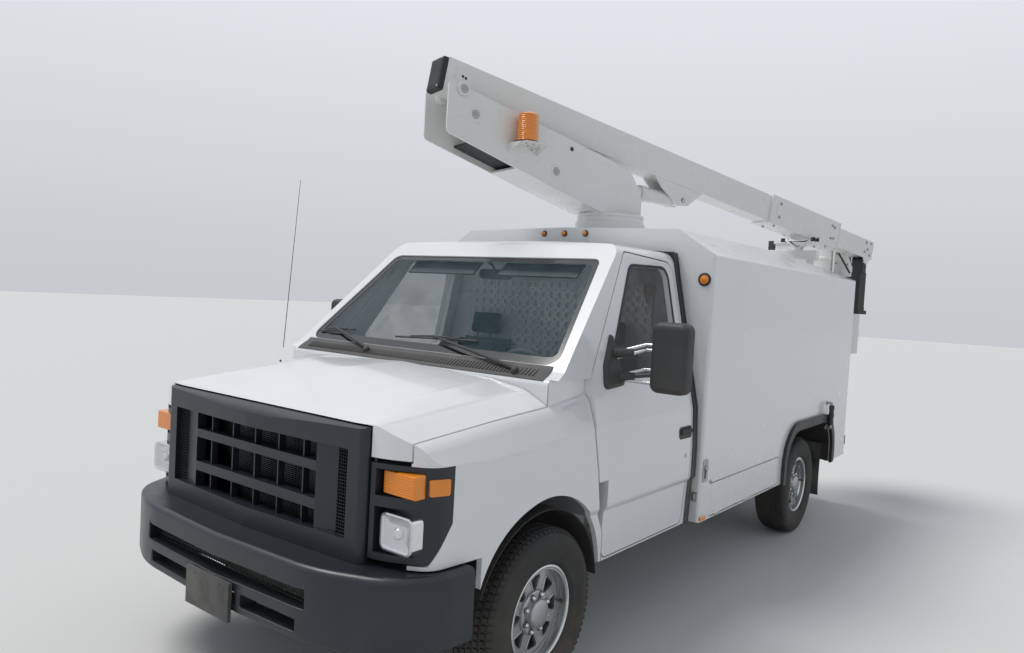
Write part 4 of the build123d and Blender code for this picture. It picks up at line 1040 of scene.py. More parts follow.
mirror_glass = coated("mirror_glass", (0.55, 0.57, 0.59, 1), (0.5, 0.52, 0.54, 1), 0.03,
                      (4.0, 0.02, 0.001), (1.0, 0.0, dust_colour), metallic=1.0)
arm_metal = coated("arm_metal", (0.6, 0.61, 0.62, 1), (0.5, 0.5, 0.51, 1), 0.22,
                   (200.0, 0.1, 0.0004), (1.0, 0.1, dust_colour), metallic=0.9)
for side, sign in sides:
    body = "cab_door_" + side
    housing = bmesh.new()
    add_shell(housing, housing_outline, housing_rows, "y", 6, sign=sign)
    head = finish(housing, "mirror_housing_" + side, body, cowl_plastic, angle=35)
    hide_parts("mirror_" + side)
    for label, low, high, bulge in mirror_panes:
        pane_form = bmesh.new()
        add_shell(pane_form, rectangle(1113, low, 1267, high, 20),
                  ((0, 679), (0, 683), (-14, 683 + bulge * 0.5), (-30, 683 + bulge)), "y", 4, sign=sign)
        finish(pane_form, f"mirror_{label}_{side}", body, mirror_glass, angle=50)
    sail = bmesh.new()
    rings = []
    for grow, lift in foot_rows:
        points = rounded(mirror_foot, grow)
        rings.append([sail.verts.new((sign * (door_skin_x(v) + lift), u, v)) for u, v in points])
    close_up(sail, rings)
    finish(sail, "mirror_foot_" + side, body, cowl_plastic, angle=40)
    arms = bmesh.new()
    for foot_y, foot_z, height in mirror_arms:
        foot = (sign * (door_skin_x(foot_z) + 8), foot_y, foot_z)
        add_tube(arms, [foot, (sign * 1000, foot_y + 30, (foot_z + height) / 2), (sign * 1060, 640, height),
                        (sign * 1112, 640, height)], 9, 14)
    finish(arms, "mirror_arms_" + side, body, arm_metal)
    knuckle = bmesh.new()
    for foot_y, foot_z, height in mirror_arms[::2]:
        start = (sign * (door_skin_x(foot_z) + 2), foot_y - 12, foot_z - 4)
        add_tube(knuckle,
                 [start, (sign * 985, foot_y + 6, foot_z + 2), (sign * 1012, foot_y + 30, foot_z + 2)],
                 [30, 22, 17], 16)
    finish(knuckle, "mirror_knuckles_" + side, body, cowl_plastic)

# Hood and fenders
# Steel panels in the cab's white with narrow even gaps. A black felt liner sits inside each arch.
panel("bonnet", "hood", 0.006, cab_paint)
panel("front_wings", "fenders", 0.006, cab_paint)
liner_felt = coated("liner_felt", (0.012, 0.012, 0.013, 1), (0.03, 0.028, 0.026, 1), 0.9,
                    (600.0, 0.8, 0.002), (0.9, 0.6, film_colour))
for side, sign in sides:
    liner = bmesh.new()
    rings = []
    for radius, x in ((449, 960), (449, 610), (455, 605), (455, 960)):
        ring = []
        for step in range(25):
            angle = math.radians(8 + 149 * step / 24)
            height = axle_height + radius * math.sin(angle) + 2
            ring.append(liner.verts.new((sign * x, radius * math.cos(angle), height)))
        rings.append(ring)
    for low, high in zip(rings, rings[1:] + rings[:1]):
        for index in range(24):
            liner.faces.new((low[index], low[index + 1], high[index + 1], high[index]))
    for end in (0, 24):
        liner.faces.new([ring[end] for ring in rings])
    finish(liner, "front_liner_" + side, "chassis", liner_felt, angle=50)

# Grille
# A one-piece moulded surround in dark blue-grey plastic with a thick rounded upper band. Black fins
# of the radiator and fine black mesh in the side slots show behind it.
slot_inner = 531
slot_outer = 607
opening_bottom = 800
opening_top = 1140
screen_y = -790
radiator_face_y = -742
nose_plastic = coated("nose_plastic", (0.012, 0.016, 0.022, 1), (0.020, 0.025, 0.032, 1),
                      0.34, (420.0, 0.2, 0.0006), (0.8, 0.08, dust_colour))
trim_plastic = coated("trim_plastic", (0.009, 0.010, 0.011, 1), (0.015, 0.016, 0.018, 1),
                      0.45, (500.0, 0.25, 0.0006), (0.9, 0.3, dust_colour))
panel("nose_grille", "grille", 0.007, nose_plastic)


def lattice_tree():
    """A flat grid of round wires, closed and given its finish."""
    sockets = {
        "Width": ("Float", None), "Height": ("Float", None), "Columns": ("Int", None),
        "Rows": ("Int", None), "Wire": ("Float", None), "Finish": ("Material", None),
    }
    tree, given, result = start_tree("lattice", "GeometryNodeTree", sockets, "Geometry", "Geometry")
    grid = add_node(tree, "GeometryNodeMeshGrid", {
        "Size X": given["Width"], "Size Y": given["Height"],
        "Vertices X": given["Columns"], "Vertices Y": given["Rows"],
    })
    wires = add_node(tree, "GeometryNodeMeshToCurve", {"Mesh": grid.outputs["Mesh"]})
    section = add_node(tree, "GeometryNodeCurvePrimitiveCircle", {"Resolution": 4, "Radius": given["Wire"]})
    pipe = add_node(tree, "GeometryNodeCurveToMesh", {
        "Curve": wires.outputs["Curve"], "Profile Curve": section.outputs["Curve"], "Fill Caps": True,
    })
    finished(tree, pipe.outputs["Mesh"], given["Finish"], result)
    return tree


lattice = lattice_tree()


def mesh_screen(name, low, high, pitch, wire, body, material):
    """A screen of wires between two corners that share one y, in millimetres."""
    width = high[0] - low[0]
    height = high[2] - low[2]
    piece = object_from(bpy.data.meshes.new(name), name)
    weave = piece.modifiers.new("lattice", "NODES")
    weave.node_group = lattice
    values = {
        "Width": width * 0.001, "Height": height * 0.001, "Columns": round(width / pitch) + 1,
        "Rows": round(height / pitch) + 1, "Wire": wire * 0.001, "Finish": material,
    }
    for item in lattice.interface.items_tree:
        if item.in_out == "INPUT":
            weave[item.identifier] = values[item.name]
    made_plain(piece)
    middle = truck @ ((Vector(low) + Vector(high)) / 2)
    piece.data.transform(Matrix.Translation(middle) @ Matrix.Rotation(math.radians(90), 4, "X"))
    return settle(piece, name, body, material)


for side, sign in sides:
    x0, x1 = sorted((sign * slot_inner, sign * slot_outer))
    mesh_screen("slot_screen_" + side, (x0, screen_y, opening_bottom), (x1, screen_y, opening_top), 13, 1.6,
                "chassis", trim_plastic)
radiator = bmesh.new()
add_box(radiator, (-640, radiator_face_y + 8, 735), (640, radiator_face_y + 30, 1165))
for step in range(52):
    z = 740 + step * 8.2
    add_box(radiator, (-620, radiator_face_y, z), (620, radiator_face_y + 8, z + 3.5))
finish(radiator, "radiator", "chassis", trim_plastic)

# Headlamps
# Two moulded clusters in the nose's plastic. Each holds a ribbed amber turn lens over a bright
# square lamp behind a clear lens, with an amber marker on its outer side.
amber_lens = coated("amber_lens", (0.80, 0.20, 0.008, 1), (0.95, 0.32, 0.01, 1), 0.15,
                    (60.0, 0.1, 0.001), (0.5, 0.0, dust_colour), coat=0.6)
lamp_mirror = coated("lamp_mirror", (0.78, 0.79, 0.80, 1), (0.66, 0.67, 0.68, 1), 0.08,
                     (120.0, 0.2, 0.001), (0.5, 0.0, dust_colour), metallic=1.0)
clear_lens = tinted_glass("clear_lens", (0.85, 0.88, 0.9, 1), 0.22, 0.3)
panel("lamp_clusters", "headlamps", 0.007, nose_plastic)
turn_outline = rectangle(736, 990, 904, 1080, 8)
lamp_outline = rectangle(744, 788, 904, 924, 26)
for side, sign in sides:
    turn_lens = bmesh.new()
    add_shell(turn_lens, turn_outline, ((0, -700), (0, -744), (-4, -750)), "y", 3, sign=sign)
    for step in range(9):
        z = 998 + step * 9.2
        add_tube(turn_lens, [(sign * 744, -748, z), (sign * 896, -748, z)], 3.8, 8)
    finish(turn_lens, "turn_lens_" + side, "chassis", amber_lens, angle=35)
    bowl = bmesh.new()
    add_shell(bowl, lamp_outline,
              ((0, -700), (0, -757), (-4, -760), (-8, -756), (-24, -747), (-44, -744)), "y", sign=sign)
    add_lathe(bowl, (sign * 824, -742, 856), (0, -1, 0), [(0, 24), (8, 24), (14, 18), (16, 0)], 24)
    finish(bowl, "lamp_bowl_" + side, "chassis", lamp_mirror, angle=35)
    cover = bmesh.new()
    add_shell(cover, lamp_outline,
              ((2, -754), (2, -761), (-6, -765), (-25, -768), (-45, -769)), "y", sign=sign)
    finish(cover, "lamp_cover_" + side, "chassis", clear_lens, angle=35)
    marker = bmesh.new()
    add_shell(marker, rectangle(-42, -31, 42, 31, 8), ((0, -8), (0, 3), (-4, 5), (-12, 6)), steps=4)
    finish(marker, "side_marker_" + side, "chassis", amber_lens, angle=50,
           place=on_surface("headlamps", (sign * outside_x, -652, 1031), (-sign, 0, 0)))

# Bumper and plate holder
# A thick moulded bumper in the nose's plastic with an air intake, and a blank black plate holder
# with two rows of slots, bolted to its middle.
intake_x = (-560, 560)
intake_z = (555, 625)
intake_screen_y = -905
holder_front_y = -1000
panel("bumper_skin", "front_bumper", 0.012, nose_plastic)
# Painted shade: a black box behind the intake screen keeps the opening dark, standing for the shaded space
# behind the bumper.
intake_back = bmesh.new()
add_box(intake_back, (-740, -884, intake_z[0] - 8), (740, -760, intake_z[1] + 8))
finish(intake_back, "intake_duct", "chassis", black_rubber_and_painted_shade)
mesh_screen("intake_screen", (intake_x[0], intake_screen_y, intake_z[0]),
            (intake_x[1], intake_screen_y, intake_z[1]), 17.5, 1.8, "chassis", trim_plastic)
panel("plate_holder", "plate_bracket", 0.002, cowl_plastic)
holder_slots = bmesh.new()
for x in (-108, -36, 36, 108):
    for z in (430, 486):
        loop = rounded(rectangle(x - 22, z - 16, x + 22, z + 16, 4), 0, 2)
        inner = rounded(rectangle(x - 17, z - 11, x + 17, z + 11, 3), 0, 2)
        rings = []
        for points, back in ((loop, 1), (loop, 0), (inner, 0), (inner, 1)):
            rings.append([holder_slots.verts.new((u, holder_front_y + back, v)) for u, v in points])
        add_walls(holder_slots, rings + [rings[0]])
finish(holder_slots, "plate_holder_slots", "chassis", border_black)

# Service body
# A box of folded sheet steel welded to its floor, in white enamel a little duller than the cab. The
# roof is chamfered and its rear is a sloping deck. Latches and lamps are screwed on.
body_side_x = 1040
over_roof = 2600
# Each rivet is at (y, x)
deck_pairs = ((1640, 926), (1676, 926), (2880, 926), (2925, 926))
clearance_lamps = (-160, 0, 160)
body_paint = coated("body_paint", (0.80, 0.81, 0.82, 1), (0.765, 0.775, 0.785, 1), 0.24,
                    (9.0, 0.08, 0.004), (1.0, 0.35, dust_colour), coat=0.4)
red_lens = coated("red_lens", (0.45, 0.01, 0.008, 1), (0.55, 0.02, 0.012, 1), 0.15,
                  (60.0, 0.1, 0.001), (0.9, 0.1, dust_colour), coat=0.6)
zinc = coated("zinc", (0.45, 0.46, 0.47, 1), (0.36, 0.36, 0.36, 1), 0.34,
              (300.0, 0.15, 0.0004), (1.0, 0.3, dust_colour), metallic=0.85)
panel("service_box", "service_body body_roof", 0.005, body_paint)
panel("load_floor", "body_floor", 0.003, body_paint)
panel("locker_boxes", "lockers", 0.003, body_paint)

rivet = bmesh.new()
add_lathe(rivet, (0, 0, -1), (0, 0, 1), [(0, 6.5), (1.5, 6.5), (3, 4.5), (3.6, 0)], 12)
rivet_spots = []
for sign in (1, -1):
    for y, x in deck_pairs:
        place = on_surface("body_roof", (sign * x, y, over_roof), (0, 0, -1), (0, 1, 0))
        rivet_spots.append((to_truck @ place.translation, place.to_3x3().col[2]))
repeated("roof_rivets", rivet, rivet_spots, "chassis", zinc)

lamp_feet = bmesh.new()
lamp_domes = bmesh.new()
for x in clearance_lamps:
    add_lathe(lamp_feet, (x, 1442, 2166), (0, -1, 0), [(0, 21), (9, 20), (12, 16), (12, 0)], 28)
    add_lathe(lamp_domes, (x, 1432, 2166), (0, -1, 0), [(0, 15.5), (9, 15), (16, 11), (19, 6), (20, 0)], 24)
finish(lamp_feet, "clearance_lamp_feet", "chassis", black_rubber_and_painted_shade)
finish(lamp_domes, "clearance_lamps", "chassis", amber_lens, angle=40)

round_feet = bmesh.new()
round_amber = bmesh.new()
round_red = bmesh.new()
latches = bmesh.new()
latch_slots = bmesh.new()
for sign in (1, -1):
    marks = (
        (round_amber, (sign * 982, 1440, 1899), (0, -1, 0), 30),
        (round_amber, (sign * 970, 4540, 985), (0, 1, 0), 46),
        (round_red, (sign * 970, 4540, 1100), (0, 1, 0), 46),
        (round_red, (sign * 970, 4540, 870), (0, 1, 0), 46),
    )
    for lens, spot, way, radius in marks:
        add_lathe(round_feet, spot, way, [
            (-1, radius + 9), (5, radius + 8), (9, radius + 3), (9, radius - 2), (3, radius - 2),
        ], 36)
        add_lathe(lens, spot, way, [
            (1, radius - 2.4), (7, radius - 3), (9, radius * 0.72), (8, radius * 0.66), (12, radius * 0.4),
            (13, 0),
        ], 36)
    add_shell(round_amber, rectangle(1450, 508, 1526, 532, 6),
              ((0, -1), (0, 5), (-3, 7)), "x", 3, body_side_x, sign=sign)
    add_shell(latches, rectangle(1455, 732, 1523, 868, 16),
              ((0, -0.5), (0, 3), (-3, 5), (-13, 4.5), (-15, 1)), "x", 4, body_side_x, sign=sign)
    add_lathe(latches, (sign * body_side_x, 1489, 812), (sign, 0, 0),
              [(1, 15), (12, 14), (15, 9), (15, 0)], 24)
    add_box(latch_slots, (sign * body_side_x - 3, 1483, 752), (sign * body_side_x + 3.5, 1495, 796))
    bar_x = sign * (body_side_x + 10)
    add_tube(latches, [(bar_x, 1465, 812), (bar_x, 1513, 812)], 5.5, 10)
    add_lathe(latches, (sign * body_side_x, 1574, 722), (sign, 0, 0), [(-1, 13), (4, 13), (7, 9), (7, 0)], 20)
    add_box(latch_slots, (sign * body_side_x - 7.6, 1572.5, 716), (sign * body_side_x + 7.6, 1575.5, 728))
    hinge_x = sign * (body_side_x - 2)
    for y in (1700, 2180, 2660):
        add_tube(latches, [(hinge_x, y - 40, 509), (hinge_x, y + 40, 509)], 6.5, 10)
    add_box(latches, (sign * 1008 - 16, 1430, 622), (sign * 1008 + 16, 1441, 676))
    add_tube(latches, [(sign * 1008, 1427, 632), (sign * 1008, 1425, 666)], 6, 8)
finish(round_feet, "round_lamp_feet", "chassis", black_rubber_and_painted_shade, angle=40)
finish(round_amber, "round_amber_lamps", "chassis", amber_lens, angle=40)
finish(round_red, "round_red_lamps", "chassis", red_lens, angle=40)
finish(latches, "latches", "chassis", zinc, edge=1.2)
finish(latch_slots, "latch_slots", "chassis", black_rubber_and_painted_shade)

# Skirt lockers and rear door
# Drop-down doors of folded sheet on the skirts, and a hinged walk-in door at the back with a bright
# paddle handle. Both wear the body's enamel; the hinge leaves are zinc plated.
for side, sign in sides:
    panel("skirt_door_" + side, "locker_door_" + side, 0.003, body_paint)
panel("rear_entry", "rear_door", 0.005, body_paint)
rear_door_y = 4541
door_metal = bmesh.new()
for z in (1000, 1365, 1730):
    add_tube(door_metal, [(-905, 4545, z - 55), (-905, 4545, z + 55)], 4.6, 12)
    add_box(door_metal, (-903, 4541, z - 48), (-830, 4545, z + 48))
add_shell(door_metal, rectangle(-215, 1290, -145, 1430, 16),
          ((0, -0.5), (0, 4), (-5, 7), (-16, 6), (-19, -6)), "y", 4, rear_door_y)
add_prism(door_metal, ((-200, 1315), (-160, 1315), (-160, 1405), (-200, 1405)), 4540, 4549, "y")
finish(door_metal, "rear_door_metal", "rear_door", zinc, edge=1.5)

# Rear wheel arches and flaps
# Black rubber flares are screwed round the openings. A dark plastic liner and a rubber flap keep the
# spray off the body, and a black grip on two brackets stands behind the driver's side flare.
panel("flares", "wheel_flares", 0.006, trim_plastic)
liners = bmesh.new()
flare_lip = bmesh.new()
flare_screws = []
flaps = bmesh.new()


def arch_points(grow, steps):
    """Points over a rear wheel opening from its front foot to its rear foot."""
    points = rounded(((2905, 400, 1), (2905, 860, 250), (4055, 860, 250), (4055, 400, 1)), grow, steps)
    return [Vector((2905 - grow, 506))] + points[steps + 1:3 * (steps + 1)] + [Vector((4055 + grow, 506))]


for sign in (1, -1):
    outer = arch_points(-2, 10)
    inner = arch_points(-6, 10)
    add_prism(liners, outer + list(reversed(inner)), sign * 646, sign * 1037, "x")
    cap = [point for point in inner if point.y > 724]
    add_prism(liners, [(cap[0].x, 724)] + cap + [(cap[-1].x, 724)], sign * 642, sign * 646, "x")
    for grow, x in ((60, 1062), (3, 1063)):
        path = [(sign * x, u, v) for u, v in arch_points(grow, 10)]
        add_tube(flare_lip, path, 4.2, 8)
    for u, v in arch_points(44, 10)[1:-1:3]:
        flare_screws.append(((sign * 1063, u, v), (sign, 0, 0)))
    rows = []
    for z, y in ((640, 4020), (520, 4018), (400, 4012), (280, 4016), (205, 4024)):
        corners = ((742, 0), (744, 7), (980, 7), (982, 0))
        rows.append([(sign * x, y + off, z) for x, off in corners])
    close_up(flaps, [[flaps.verts.new(point) for point in row] for row in rows])
    add_box(flaps, (sign * 735, 4011, 600), (sign * 990, 4019, 650))
finish(liners, "rear_arch_liners", "chassis", liner_felt, angle=40)
finish(flare_lip, "flare_lips", "chassis", trim_plastic)
finish(flaps, "mud_flaps", "chassis", black_rubber_and_painted_shade, edge=1.0, angle=25)
screw = bmesh.new()
add_lathe(screw, (0, 0, 0), (0, 0, 1), [(-1, 7), (1, 7), (3, 4), (3, 0)], 12)
repeated("flare_screws", screw, flare_screws, "chassis", black_rubber_and_painted_shade)
grip = bmesh.new()
add_lathe(grip, (1082, 3889, 832), (0, 0, 1), [
    (0, 17), (3, 20), (30, 21), (34, 18), (60, 18), (64, 21), (94, 21), (98, 18), (124, 18), (128, 21),
    (158, 20), (161, 17),
], 20)
finish(grip, "side_grip", "chassis", black_rubber_and_painted_shade)
grip_feet = bmesh.new()
for z in (806, 1010):
    add_lathe(grip_feet, (1039, 3889, z), (1, 0, 0), [(0, 17), (6, 17), (8, 11), (30, 10)], 16)
    add_lathe(grip_feet, (1039, 3915, z), (1, 0, 0), [(0, 8), (6, 7), (8, 0)], 12)
add_tube(grip_feet, [(1066, 3889, 800), (1080, 3889, 806), (1082, 3889, 820), (1082, 3889, 1000),
                     (1080, 3889, 1012), (1066, 3889, 1016)], 9, 12)
finish(grip_feet, "side_grip_feet", "chassis", zinc, angle=40)

# Rear step bumper
# A folded steel step in chassis black with a tread of small raised lozenges.
step_top = 640
panel("rear_step", "rear_bumper", 0.006, frame_black)
lozenge = bmesh.new()
rings = []
for length, width, z in ((11, 3.5, -0.3), (8, 1.8, 1.6)):
    corners = ((-length, 0, z), (0, -width, z), (length, 0, z), (0, width, z))
    rings.append([lozenge.verts.new(point) for point in corners])
close_up(lozenge, rings)
tread_spots = []
for row in range(7):
    for column in range(74):
        x = -965 + column * 26.4
        y = 4556 + row * 24
        if math.hypot(x, y - 4650) < 30:
            continue
        tread_spots.append(((x, y, step_top), (0, 0, 0, math.radians(45 if (row + column) % 2 else -45))))
repeated("step_tread", lozenge, tread_spots, "chassis", frame_black)

# Wheels
# Silver steel rims with eight windows, a bright lip, chromed nuts round a domed cap and a rubber
# valve. The tyres are road tyres with ridged sidewalls and sawn tread blocks.
wheelbase = 3505
tyre_blocks = 76
tread_radius = 367
# Half of the tyre's section as (along, radius), from its bead to the middle of its tread
half_tyre = [
    (90, 216), (99, 219), (106, 226), (109, 231), (112, 233), (112, 238), (111, 241), (115, 256), (118, 276),
    (119, 283), (119.5, 284), (119.5, 287), (119, 288), (119.2, 306), (119.8, 307), (119.8, 311), (119, 312),
    (117, 326), (113, 340), (112, 341), (110, 346), (106, 353), (99, 360), (92, 364), (78, 366), (45, 367),
    (0, 367.5),
]
stud_circle = 81
block_rows = (-76, -43, -8, 27, 62)
silver = coated("wheel_silver", (0.50, 0.51, 0.52, 1), (0.42, 0.425, 0.43, 1), 0.3,
                (200.0, 0.08, 0.0005), (0.6, 0.4, film_colour), metallic=0.8)
bright_rim = coated("bright_rim", (0.72, 0.73, 0.74, 1), (0.62, 0.62, 0.62, 1), 0.14,
                    (260.0, 0.05, 0.0004), (0.6, 0.25, film_colour), metallic=1.0)
tyre_rubber = coated("tyre_rubber", (0.017, 0.017, 0.018, 1), (0.032, 0.031, 0.03, 1), 0.72,
                     (350.0, 0.35, 0.001), (0.75, 0.55, film_colour))

for axle, reference, wheel_y in (("front", 872, 0), ("rear", 862, wheelbase)):
    for side, sign in sides:
        body = f"{axle}_wheel_{side}"
        place = truck @ Matrix.Translation((sign * reference, wheel_y, axle_height))
        place = place @ Matrix.Rotation(math.radians(90 * sign), 4, "Y")
        panel(f"rim_{axle}_{side}", f"wheel_{axle}_{side}", 0.0025, silver, 2)

        lip = bmesh.new()
        add_lathe(lip, (0, 0, 0), (0, 0, 1),
                  [(84, 199), (95.5, 201), (99, 204), (100, 209), (98, 215), (90, 216)], 72, hollow=True)
        add_lathe(lip, (0, 0, 0), (0, 0, 1), [(56, 192), (58, 190), (85, 197), (85, 200), (56, 195)],
                  72, hollow=True)
        finish(lip, f"rim_lip_{axle}_{side}", body, bright_rim, place=place, angle=50)

        dish = bmesh.new()
        add_lathe(dish, (0, 0, 0), (0, 0, 1),
                  [(49.5, 99), (54, 99), (62, 95), (65, 90), (65, 62), (49.5, 62)], 64, hollow=True)
        for index in range(8):
            middle = math.radians(45 * index)
            corners = ((97, -6, 5), (170, -15.5, 14), (170, 15.5, 14), (97, 6, 5))
            rows = []
            for radius, turn, soft in corners:
                angle = middle + math.radians(turn)
                rows.append((radius * math.cos(angle), radius * math.sin(angle), soft))
            outer = rounded(rows, 3.5, 4)
            inner = rounded(rows, -2.5, 4)
            rings = []
            for points, along in ((outer, 49.5), (outer, 52.5), (inner, 54.5), (inner, 40)):
                rings.append([dish.verts.new((u, v, along)) for u, v in points])
            add_walls(dish, rings + [rings[0]])
        finish(dish, f"rim_pressings_{axle}_{side}", body, silver, place=place, edge=1.0, angle=30)

        cap = bmesh.new()
        add_lathe(cap, (0, 0, 0), (0, 0, 1), [
            (65, 66), (68, 67.5), (71, 65), (86, 64), (93, 58), (97, 44), (99, 24), (99.6, 0),
        ], 48)
        finish(cap, f"hub_cap_{axle}_{side}", body, silver, place=place, angle=50)
        nut = bmesh.new()
        add_lathe(nut, (0, 0, 0), (0, 0, 1), [(0, 11.5), (12, 11.5), (17, 8), (18, 0)], 6)
        seat = bmesh.new()
        add_lathe(seat, (0, 0, -0.5), (0, 0, 1), [(0, 15), (1.2, 15), (1.2, 0)], 16)
        spots = []
        for index in range(8):
            angle = math.radians(45 * index + 22.5)
            spots.append(((stud_circle * math.cos(angle), stud_circle * math.sin(angle), 65), (0, 0, 1)))
        repeated(f"wheel_nuts_{axle}_{side}", nut, spots, body, bright_rim, place=place)
        repeated(f"nut_seats_{axle}_{side}", seat, spots, body, black_rubber_and_painted_shade, place=place)
        valve = bmesh.new()
        add_tube(valve, [(0, 186, 50), (0, 184, 66), (0, 178, 84)], [5, 4.5, 4], 10)
        add_lathe(valve, (0, 178, 82), (0, -0.3, 1), [(0, 5), (9, 5), (10, 0)], 8)
        finish(valve, f"valve_{axle}_{side}", body, black_rubber_and_painted_shade, place=place)

        tyre = bmesh.new()
        rows = half_tyre + [(-along, radius) for along, radius in reversed(half_tyre[:-1])]
        add_lathe(tyre, (0, 0, 0), (0, 0, 1), rows, 96, hollow=True)
        carcass = finish(tyre, f"tyre_{axle}_{side}_carcass", body, tyre_rubber, place=place, angle=60)
        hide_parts(f"tyre_{axle}_{side}")
        block = bmesh.new()
        rings = []
        for outer, inner, half, z in ((12.6, 10, 12, -4), (11.6, 9, 11.2, 7.2)):
            corners = ((-outer, -half, z), (inner, -half, z), (outer, half, z), (-inner, half, z))
            rings.append([block.verts.new(point) for point in corners])
        close_up(block, rings)
        lug = bmesh.new()
        add_box(lug, (-11, -9, -5), (11, 9, 3.5))
        block_spots = []
        lug_spots = []
        for index in range(tyre_blocks):
            for row, along in enumerate(block_rows):
                angle = 2 * math.pi * (index + 0.5 * (row % 2) + 0.13 * row) / tyre_blocks
                out = Vector((math.cos(angle), math.sin(angle), 0))
                block_spots.append((out * tread_radius + Vector((0, 0, along + 7)), out))
            angle = 2 * math.pi * (index + 0.25) / tyre_blocks
            for along in (98, -98):
                out = Vector((math.cos(angle), math.sin(angle), 0.75 if along > 0 else -0.75))
                lug_spots.append(((360 * math.cos(angle), 360 * math.sin(angle), along), out))
        repeated(f"tread_{axle}_{side}", block, block_spots, body, tyre_rubber, place=place)
        repeated(f"shoulder_{axle}_{side}", lug, lug_spots, body, tyre_rubber, place=place)

# Turret
# A column with a bolted ring carries two thick plates that lean forward. They are welded steel in
# cream white enamel. The boom's pivot and the cylinder's pin pass through them.
boom_frame = truck @ Matrix.Translation((0, 2000, 0)) @ Matrix.Rotation(math.radians(-20), 4, "Z")
boom_paint = coated("boom_paint", (0.80, 0.80, 0.785, 1), (0.765, 0.765, 0.745, 1), 0.28,
                    (25.0, 0.1, 0.002), (0.5, 0.0, dust_colour), coat=0.35)
panel("roof_column", "pedestal", 0.003, boom_paint)
panel("turret_plates", "turret", 0.003, boom_paint, 3, 28)
plate_face = 158
bolt_circle = 207
turret_bolts = []
for step in range(24):
    angle = math.radians(15 * step + 7.5)
    n, r = bolt_circle * math.sin(angle), bolt_circle * math.cos(angle)
    if abs(n) < 128:
        turret_bolts.append(((n, r, 2332.5), (0, 0, 1)))
repeated("slewing_bolts", bolt_part(9, 14), turret_bolts, "turret", boom_paint, place=boom_frame, spin=6.0)
pins = bmesh.new()
pin_rings = bmesh.new()
# Each pin is (r, z, how far its boss stands out)
turret_pins = ((-1302, 2955, 8), (-1213, 2820, 0), (-600, 2560, 0))
for way in (1, -1):
    n = way * plate_face
    for r, z, boss in turret_pins:
        foot = (n + way * (boss - 0.5), r, z)
        add_lathe(pin_rings, foot, (way, 0, 0), [(0, 43), (5, 42), (6, 39), (6, 27), (0, 27)], 32)
        add_lathe(pins, foot, (way, 0, 0), [(0, 26), (3, 26), (5, 24), (5, 11), (2, 10), (2, 0)], 28)
        add_lathe(pins, (n + way * (boss + 1.5), r, z), (way, 0, 0), [(0, 8), (4, 7), (4, 0)], 6)
    add_lathe(pin_rings, (n - way * 0.5, -483, 2720), (way, 0, 0), [(0, 27), (3, 26), (3, 15), (0, 15)], 28)
finish(pins, "turret_pins", "turret", zinc, place=boom_frame, edge=0.8)
finish(pin_rings, "turret_pin_rings", "turret", boom_paint, place=boom_frame, edge=0.8)
# Painted shade: a black sheet between the plates under the boom stands for the shaded inside seen through the
# open bottom, and a black disc in each plate's open hole stands for the hole's shadow.
shade = bmesh.new()
add_prism(shade, ((-1190, 2664), (-640, 2502), (-640, 2512), (-1190, 2676)), -145, 145, "x")
for way in (1, -1):
    spot = (way * (plate_face + 0.2), -483, 2720)
    add_lathe(shade, spot, (way, 0, 0), [(-0.5, 14), (0.6, 14), (0.6, 0)], 24)
finish(shade, "turret_belly", "turret", black_rubber_and_painted_shade, place=boom_frame)
belly_weld = ((-890, 2556), (-572, 2459), (-200, 2357), (135, 2357))
welds = bmesh.new()
for n, way in ((145, -1), (-145, 1)):
    add_tube(welds, [(n + way, *spot) for spot in belly_weld], 5, 8)
for n in (160, -160):
    add_tube(welds, [(n, -160, 2335), (n, 138, 2335)], 5, 8)
finish(welds, "turret_welds", "turret", boom_paint, place=boom_frame)

# Beacon
# A ribbed amber lens on a black base, on a pointed shelf of painted sheet with two gussets.
beacon_r, beacon_n, beacon_z = -880, 233, 2695
dome = bmesh.new()
dome_rows = [(0, 64), (3, 67)]
for rib in range(13):
    along = 8 + rib * 12
    reach = 68 - 0.3 * rib
    dome_rows += [(along, reach), (along + 3, reach - 2.6), (along + 8, reach - 2.6),
                  (along + 11, reach - 0.2)]
dome_rows += [(168, 58), (177, 44), (182, 22), (183, 0)]
add_lathe(dome, (beacon_n, beacon_r, beacon_z), (0, 0, 1), dome_rows, 40)
lens = finish(dome, "beacon_lens", "turret", amber_lens, place=boom_frame, angle=50)
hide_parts("beacon")
beacon_foot = bmesh.new()
add_lathe(beacon_foot, (beacon_n, beacon_r, beacon_z - 7), (0, 0, 1),
          [(0, 70), (8, 70), (10, 66), (10, 0)], 36)
finish(beacon_foot, "beacon_foot", "turret", black_rubber_and_painted_shade, place=boom_frame, angle=40)
shelf = bmesh.new()
add_prism(shelf, ((158, -975), (168, -975), (308, -935), (324, -880), (308, -825), (168, -745), (158, -745)),
          beacon_z - 12, beacon_z - 7, "z")
for r in (-968, -760):
    add_prism(shelf, ((158, beacon_z - 12), (292, beacon_z - 12), (280, beacon_z - 24), (158, beacon_z - 62)),
              r, r + 4, "y")
add_prism(shelf, ((-978, beacon_z - 11), (-742, beacon_z - 11), (-742, beacon_z - 40), (-978, beacon_z - 64)),
          plate_face, plate_face + 4, "x")
finish(shelf, "beacon_shelf", "turret", boom_paint, place=boom_frame, edge=1.2)
shelf_bolts = []
for n, r in ((-30, 25), (30, 25), (30, -25)):
    shelf_bolts.append(((beacon_n + n, beacon_r + r, beacon_z - 12), (0, 0, -1)))
shelf_bolts += [((162, r, beacon_z - 28), (1, 0, 0)) for r in (-935, -800)]
repeated("beacon_bolts", bolt_part(5, 6), shelf_bolts, "turret", zinc, place=boom_frame, spin=6.0)

